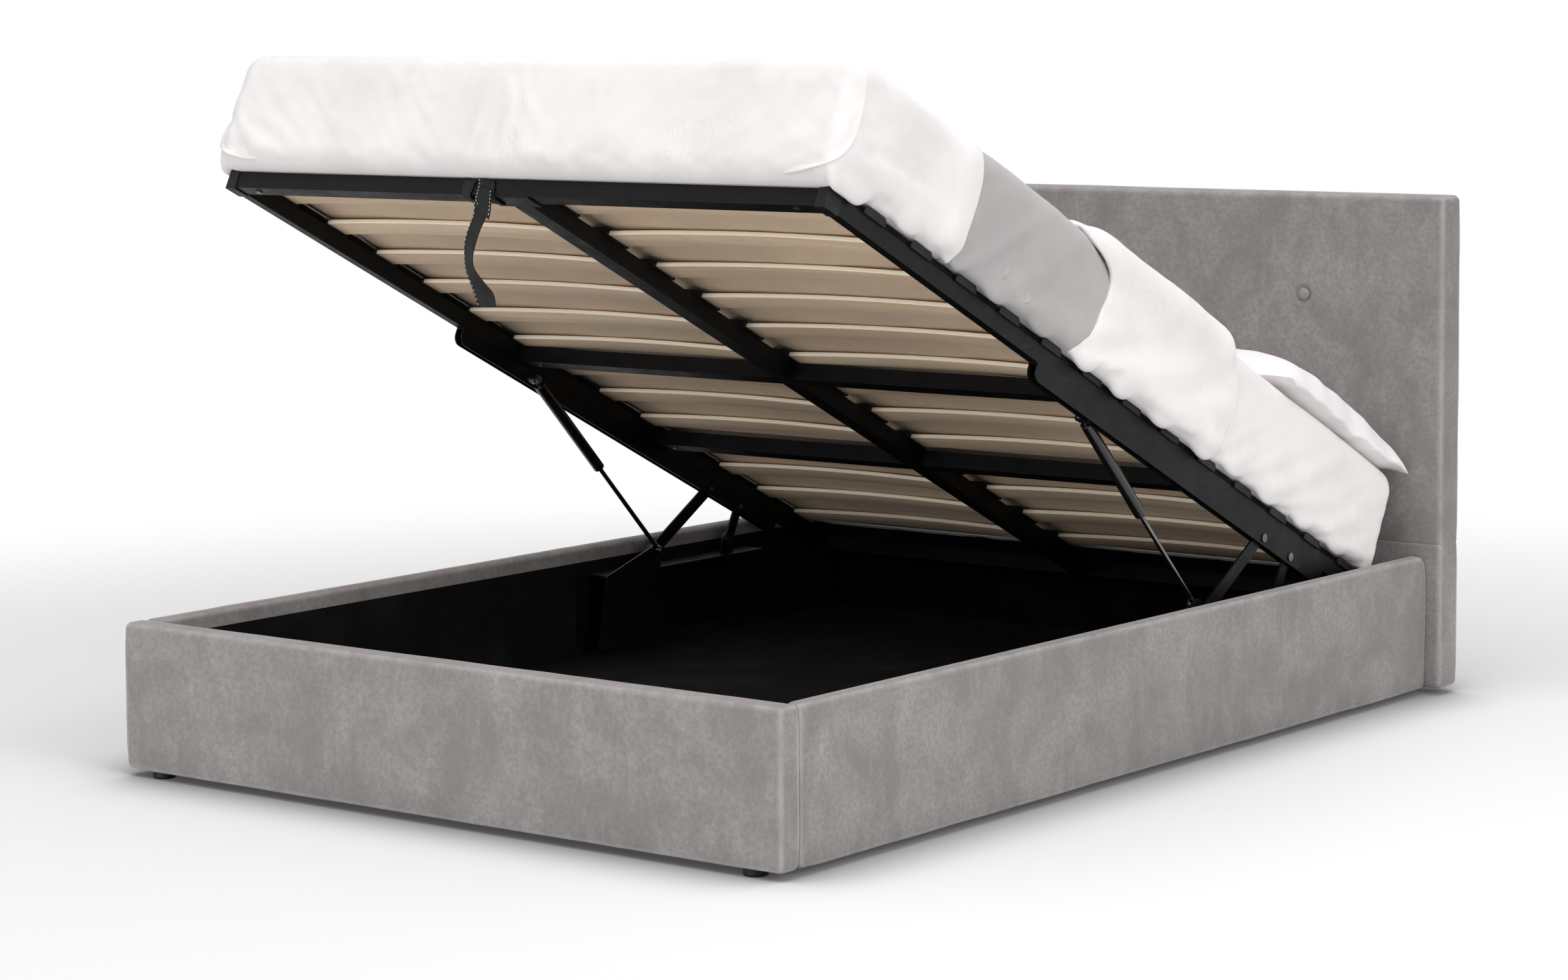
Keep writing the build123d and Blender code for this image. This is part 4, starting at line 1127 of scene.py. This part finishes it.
def add_stitches(bm, path, edge, first, last, out):
    """A row of short thread stitches beside one edge of a band."""
    shares = [first + (last - first) * i / stitch_places for i in range(stitch_places + 1)]
    places = [along(path, share) for share in shares]
    places = [middle + across * edge + out for middle, across in places]
    gone = stitch_step
    for start, end in zip(places, places[1:]):
        gone += (end - start).length
        if gone >= stitch_step:
            gone = 0.0
            made = bmesh.ops.create_uvsphere(bm, u_segments=8, v_segments=5, radius=stitch_radius)
            turn = (end - start).to_track_quat("Z", "Y").to_matrix().to_4x4()
            place = Matrix.Translation(start) @ turn @ Matrix.Diagonal((1, 1, stitch_length, 1))
            bmesh.ops.transform(bm, matrix=place, verts=made["verts"])


def turn_path(top_x, low_x, top_half, low_half):
    """A turn round the foot rail on the flat platform, from the top of the rail by its front."""
    near = -strap_standoff
    far = end_rail_width + strap_standoff
    low = -strap_standoff
    high = rail_height + strap_standoff
    outline = [
        (end_rail_width / 2, high),
        (near + rail_corner, high),
        (near, high - rail_corner),
        (near, rail_height / 2),
        (near, low + rail_corner),
        (near + rail_corner, low),
        (far - rail_corner, low),
        (far, low + rail_corner),
        (far, high - rail_corner),
        (far - rail_corner, high),
        (end_rail_width / 2, high),
    ]
    path = []
    for y, z in outline:
        share = (high - z) / (high - low)
        half = top_half + (low_half - top_half) * share
        path.append((Vector((top_x + (low_x - top_x) * share, y, z)), Vector((half, 0, -0.1 * half))))
    return path


def pull_strap():
    """A stitched strap: two turns round the foot rail, a folded flap over the knot and the hanging tail."""
    left_turn = turn_path(-0.0925, -0.0905, 0.0150, 0.0085)
    right_turn = turn_path(-0.0560, -0.0450, 0.0195, 0.0175)
    flap = [
        (Vector((-0.0500, -0.0045, 0.0120)), Vector((0.0165, 0, -0.004))),
        (Vector((-0.0450, -0.0068, -0.0040)), Vector((0.0180, 0.001, -0.006))),
        (Vector((-0.0400, -0.0080, -0.0210)), Vector((0.0195, 0.002, -0.010))),
        (Vector((-0.0350, -0.0060, -0.0330)), Vector((0.0130, 0.003, -0.010))),
    ]
    bm = strap_bands((left_turn, 44), (right_turn, 44), (flap, 14))
    bm.transform(open_place)
    finish_piece("strap_turn_bands", bm, "platform", "webbing", ("strap_turns",))
    bm = bmesh.new()
    outwards = Vector((0, -0.0014, 0))
    add_stitches(bm, right_turn, -0.84, 0.14, 0.44, outwards)
    add_stitches(bm, flap, -0.84, 0.10, 0.98, outwards)
    add_stitches(bm, flap, 0.84, 0.10, 0.98, outwards)
    bm.transform(open_place)
    finish_piece("strap_turn_stitches", bm, "platform", "webbing", material=stitch_thread)

    tail = []
    for x, y, z, half, twist in (
        (-0.0600, -0.8430, 1.0130, 0.0170, 0),
        (-0.0615, -0.8445, 0.9920, 0.0180, -6),
        (-0.0730, -0.8480, 0.9650, 0.0185, -12),
        (-0.0800, -0.8505, 0.9430, 0.0185, -15),
        (-0.0835, -0.8515, 0.9180, 0.0170, -22),
        (-0.0815, -0.8500, 0.8970, 0.0165, -20),
        (-0.0680, -0.8475, 0.8750, 0.0185, -10),
        (-0.0560, -0.8450, 0.8560, 0.0190, 8),
        (-0.0510, -0.8435, 0.8370, 0.0180, 10),
    ):
        turn = math.radians(twist)
        tail.append((Vector((x, y, z)), Vector((math.cos(turn), math.sin(turn), 0.10)) * half))
    finish_piece("strap_tail_band", strap_bands((tail, 60)), "strap", "webbing", ("pull_strap",))
    bm = bmesh.new()
    add_stitches(bm, tail, -0.86, 0.03, 0.98, outwards)
    finish_piece("strap_tail_stitches", bm, "strap", "webbing", material=stitch_thread)


# Finishes of the solids that show


def dress_solids():
    """Gives every shown solid the finish of its slot."""
    for entry in frame["record"]["subparts"]:
        node = frame["nodes"].get(entry["node"])
        if node is None:
            continue
        finish = finishes[entry["material_slot"]]
        if entry["node"].startswith("strut_cylinder"):
            finish = strut_enamel
        for slot in node.material_slots:
            slot.material = finish
        if not node.material_slots:
            node.data.materials.append(finish)


# Camera, floor and light

camera_place = (4.31246, -5.67141, 1.32259)
camera_yaw = -0.6589
camera_pitch = -0.09024
camera_roll = -0.00655
focal_pixels = 6026.5
photo_width = 2420
camera_shift = -0.08
sensor_width = 36.0
view_limit = 60.0
floor_half = 30.0
floor_fade = (1.7, 3.6)
floor_shade = 0.84
floor_glow = 0.05
# contact_reach, contact_least and contact_shade set the painted contact shadow on the floor.
contact_reach = 0.20
contact_least = 0.35
contact_shade = 0.35
sky_light = 0.60
white = (1, 1, 1, 1)


def add_camera():
    data = bpy.data.cameras.new("camera")
    lens = focal_pixels / photo_width * sensor_width
    set_all(data, sensor_width=sensor_width, lens=lens, shift_y=camera_shift, clip_end=view_limit)
    camera = place_in_scene("camera", data)
    level = math.cos(camera_pitch)
    forward = Vector((math.sin(camera_yaw) * level, math.cos(camera_yaw) * level, math.sin(camera_pitch)))
    right = forward.cross(Vector((0, 0, 1))).normalized()
    up = right.cross(forward)
    rolled_right = right * math.cos(camera_roll) + up * math.sin(camera_roll)
    rolled_up = rolled_right.cross(forward)
    turn = Matrix((rolled_right, rolled_up, -forward)).transposed()
    camera.matrix_world = Matrix.Translation(camera_place) @ turn.to_4x4()
    bpy.context.scene.camera = camera


def seen_by(tree, *rays):
    """1 for the given kinds of rays and 0 for all others."""
    path = tree.nodes.new("ShaderNodeLightPath").outputs
    seen = path[f"Is {rays[0]} Ray"]
    for ray in rays[1:]:
        seen = calculate("MAXIMUM", seen, path[f"Is {ray} Ray"])
    return seen


def add_floor():
    """A wide pale floor that fades to white far from the bed and keeps its soft shadow, with a painted
    contact shadow that darkens its colour next to the bed.
    """
    bm = bmesh.new()
    bmesh.ops.create_grid(bm, x_segments=1, y_segments=1, size=floor_half)
    floor = add_object("floor", bm)
    material, place = new_material("floor", 1.0, Specular__IOR__Level=0.0, Emission__Color=white)
    tree = material.node_tree
    surface = tree.nodes["Principled BSDF"].inputs
    distance = add_node(tree, "ShaderNodeVectorMath", operation="LENGTH", Vector=place).outputs["Value"]
    far = remap(distance, *floor_fade)
    shade = calculate("MULTIPLY_ADD", far, -floor_shade, floor_shade)
    # Painted contact shadow: ambient occlusion darkens the floor's colour near the bed.
    painted_contact_shadow = add_node(tree, "ShaderNodeAmbientOcclusion", Distance=contact_reach).outputs["AO"]
    shade = calculate("MULTIPLY", shade, remap(painted_contact_shadow, contact_least, 1.0, contact_shade, 1.0))
    tone = add_node(tree, "ShaderNodeCombineColor", Red=shade, Green=shade, Blue=shade)
    tree.links.new(tone.outputs[0], surface["Base Color"])
    glow = calculate("MULTIPLY_ADD", far, 1.0 - floor_glow, floor_glow)
    glow = calculate("MULTIPLY", seen_by(tree, "Camera", "Glossy"), glow)
    tree.links.new(glow, surface["Emission Strength"])
    floor.data.materials.append(material)


def add_world():
    world = bpy.data.worlds.new("studio")
    bpy.context.scene.world = world
    world.use_nodes = True
    tree = world.node_tree
    background = tree.nodes["Background"].inputs
    seen = seen_by(tree, "Camera", "Glossy", "Transmission")
    strength = calculate("MULTIPLY_ADD", seen, 1.0 - sky_light, sky_light)
    tree.links.new(strength, background["Strength"])
    background["Color"].default_value = white


def add_lights():
    """Large soft lamps, each with its place, what it points at, its size and its power."""
    for name, place, target, width, height, power in (
        ("overhead", (0.5, -0.8, 5.2), (0, 0, 0.3), 4.5, 4.5, 110),
        ("right_side", (5.5, -1.5, 2.6), (0, 0, 0.5), 3.0, 2.5, 140),
        ("low_front", (-0.6, -5.0, 0.2), (0, 0, 0.8), 3.5, 0.3, 72),
    ):
        data = bpy.data.lights.new(name, "AREA")
        set_all(data, shape="RECTANGLE", size=width, size_y=height, energy=power)
        turn = (Vector(target) - Vector(place)).to_track_quat("-Z", "Y").to_matrix().to_4x4()
        place_in_scene(name, data).matrix_world = Matrix.Translation(place) @ turn


box_panels()
headboard_covers()
slat_bars(1)
slat_bars(-1)
rail_strips()
bed_linen()
pull_strap()
dress_solids()
add_camera()
add_floor()
add_world()
add_lights()
bpy.context.scene.view_settings.view_transform = "Standard"
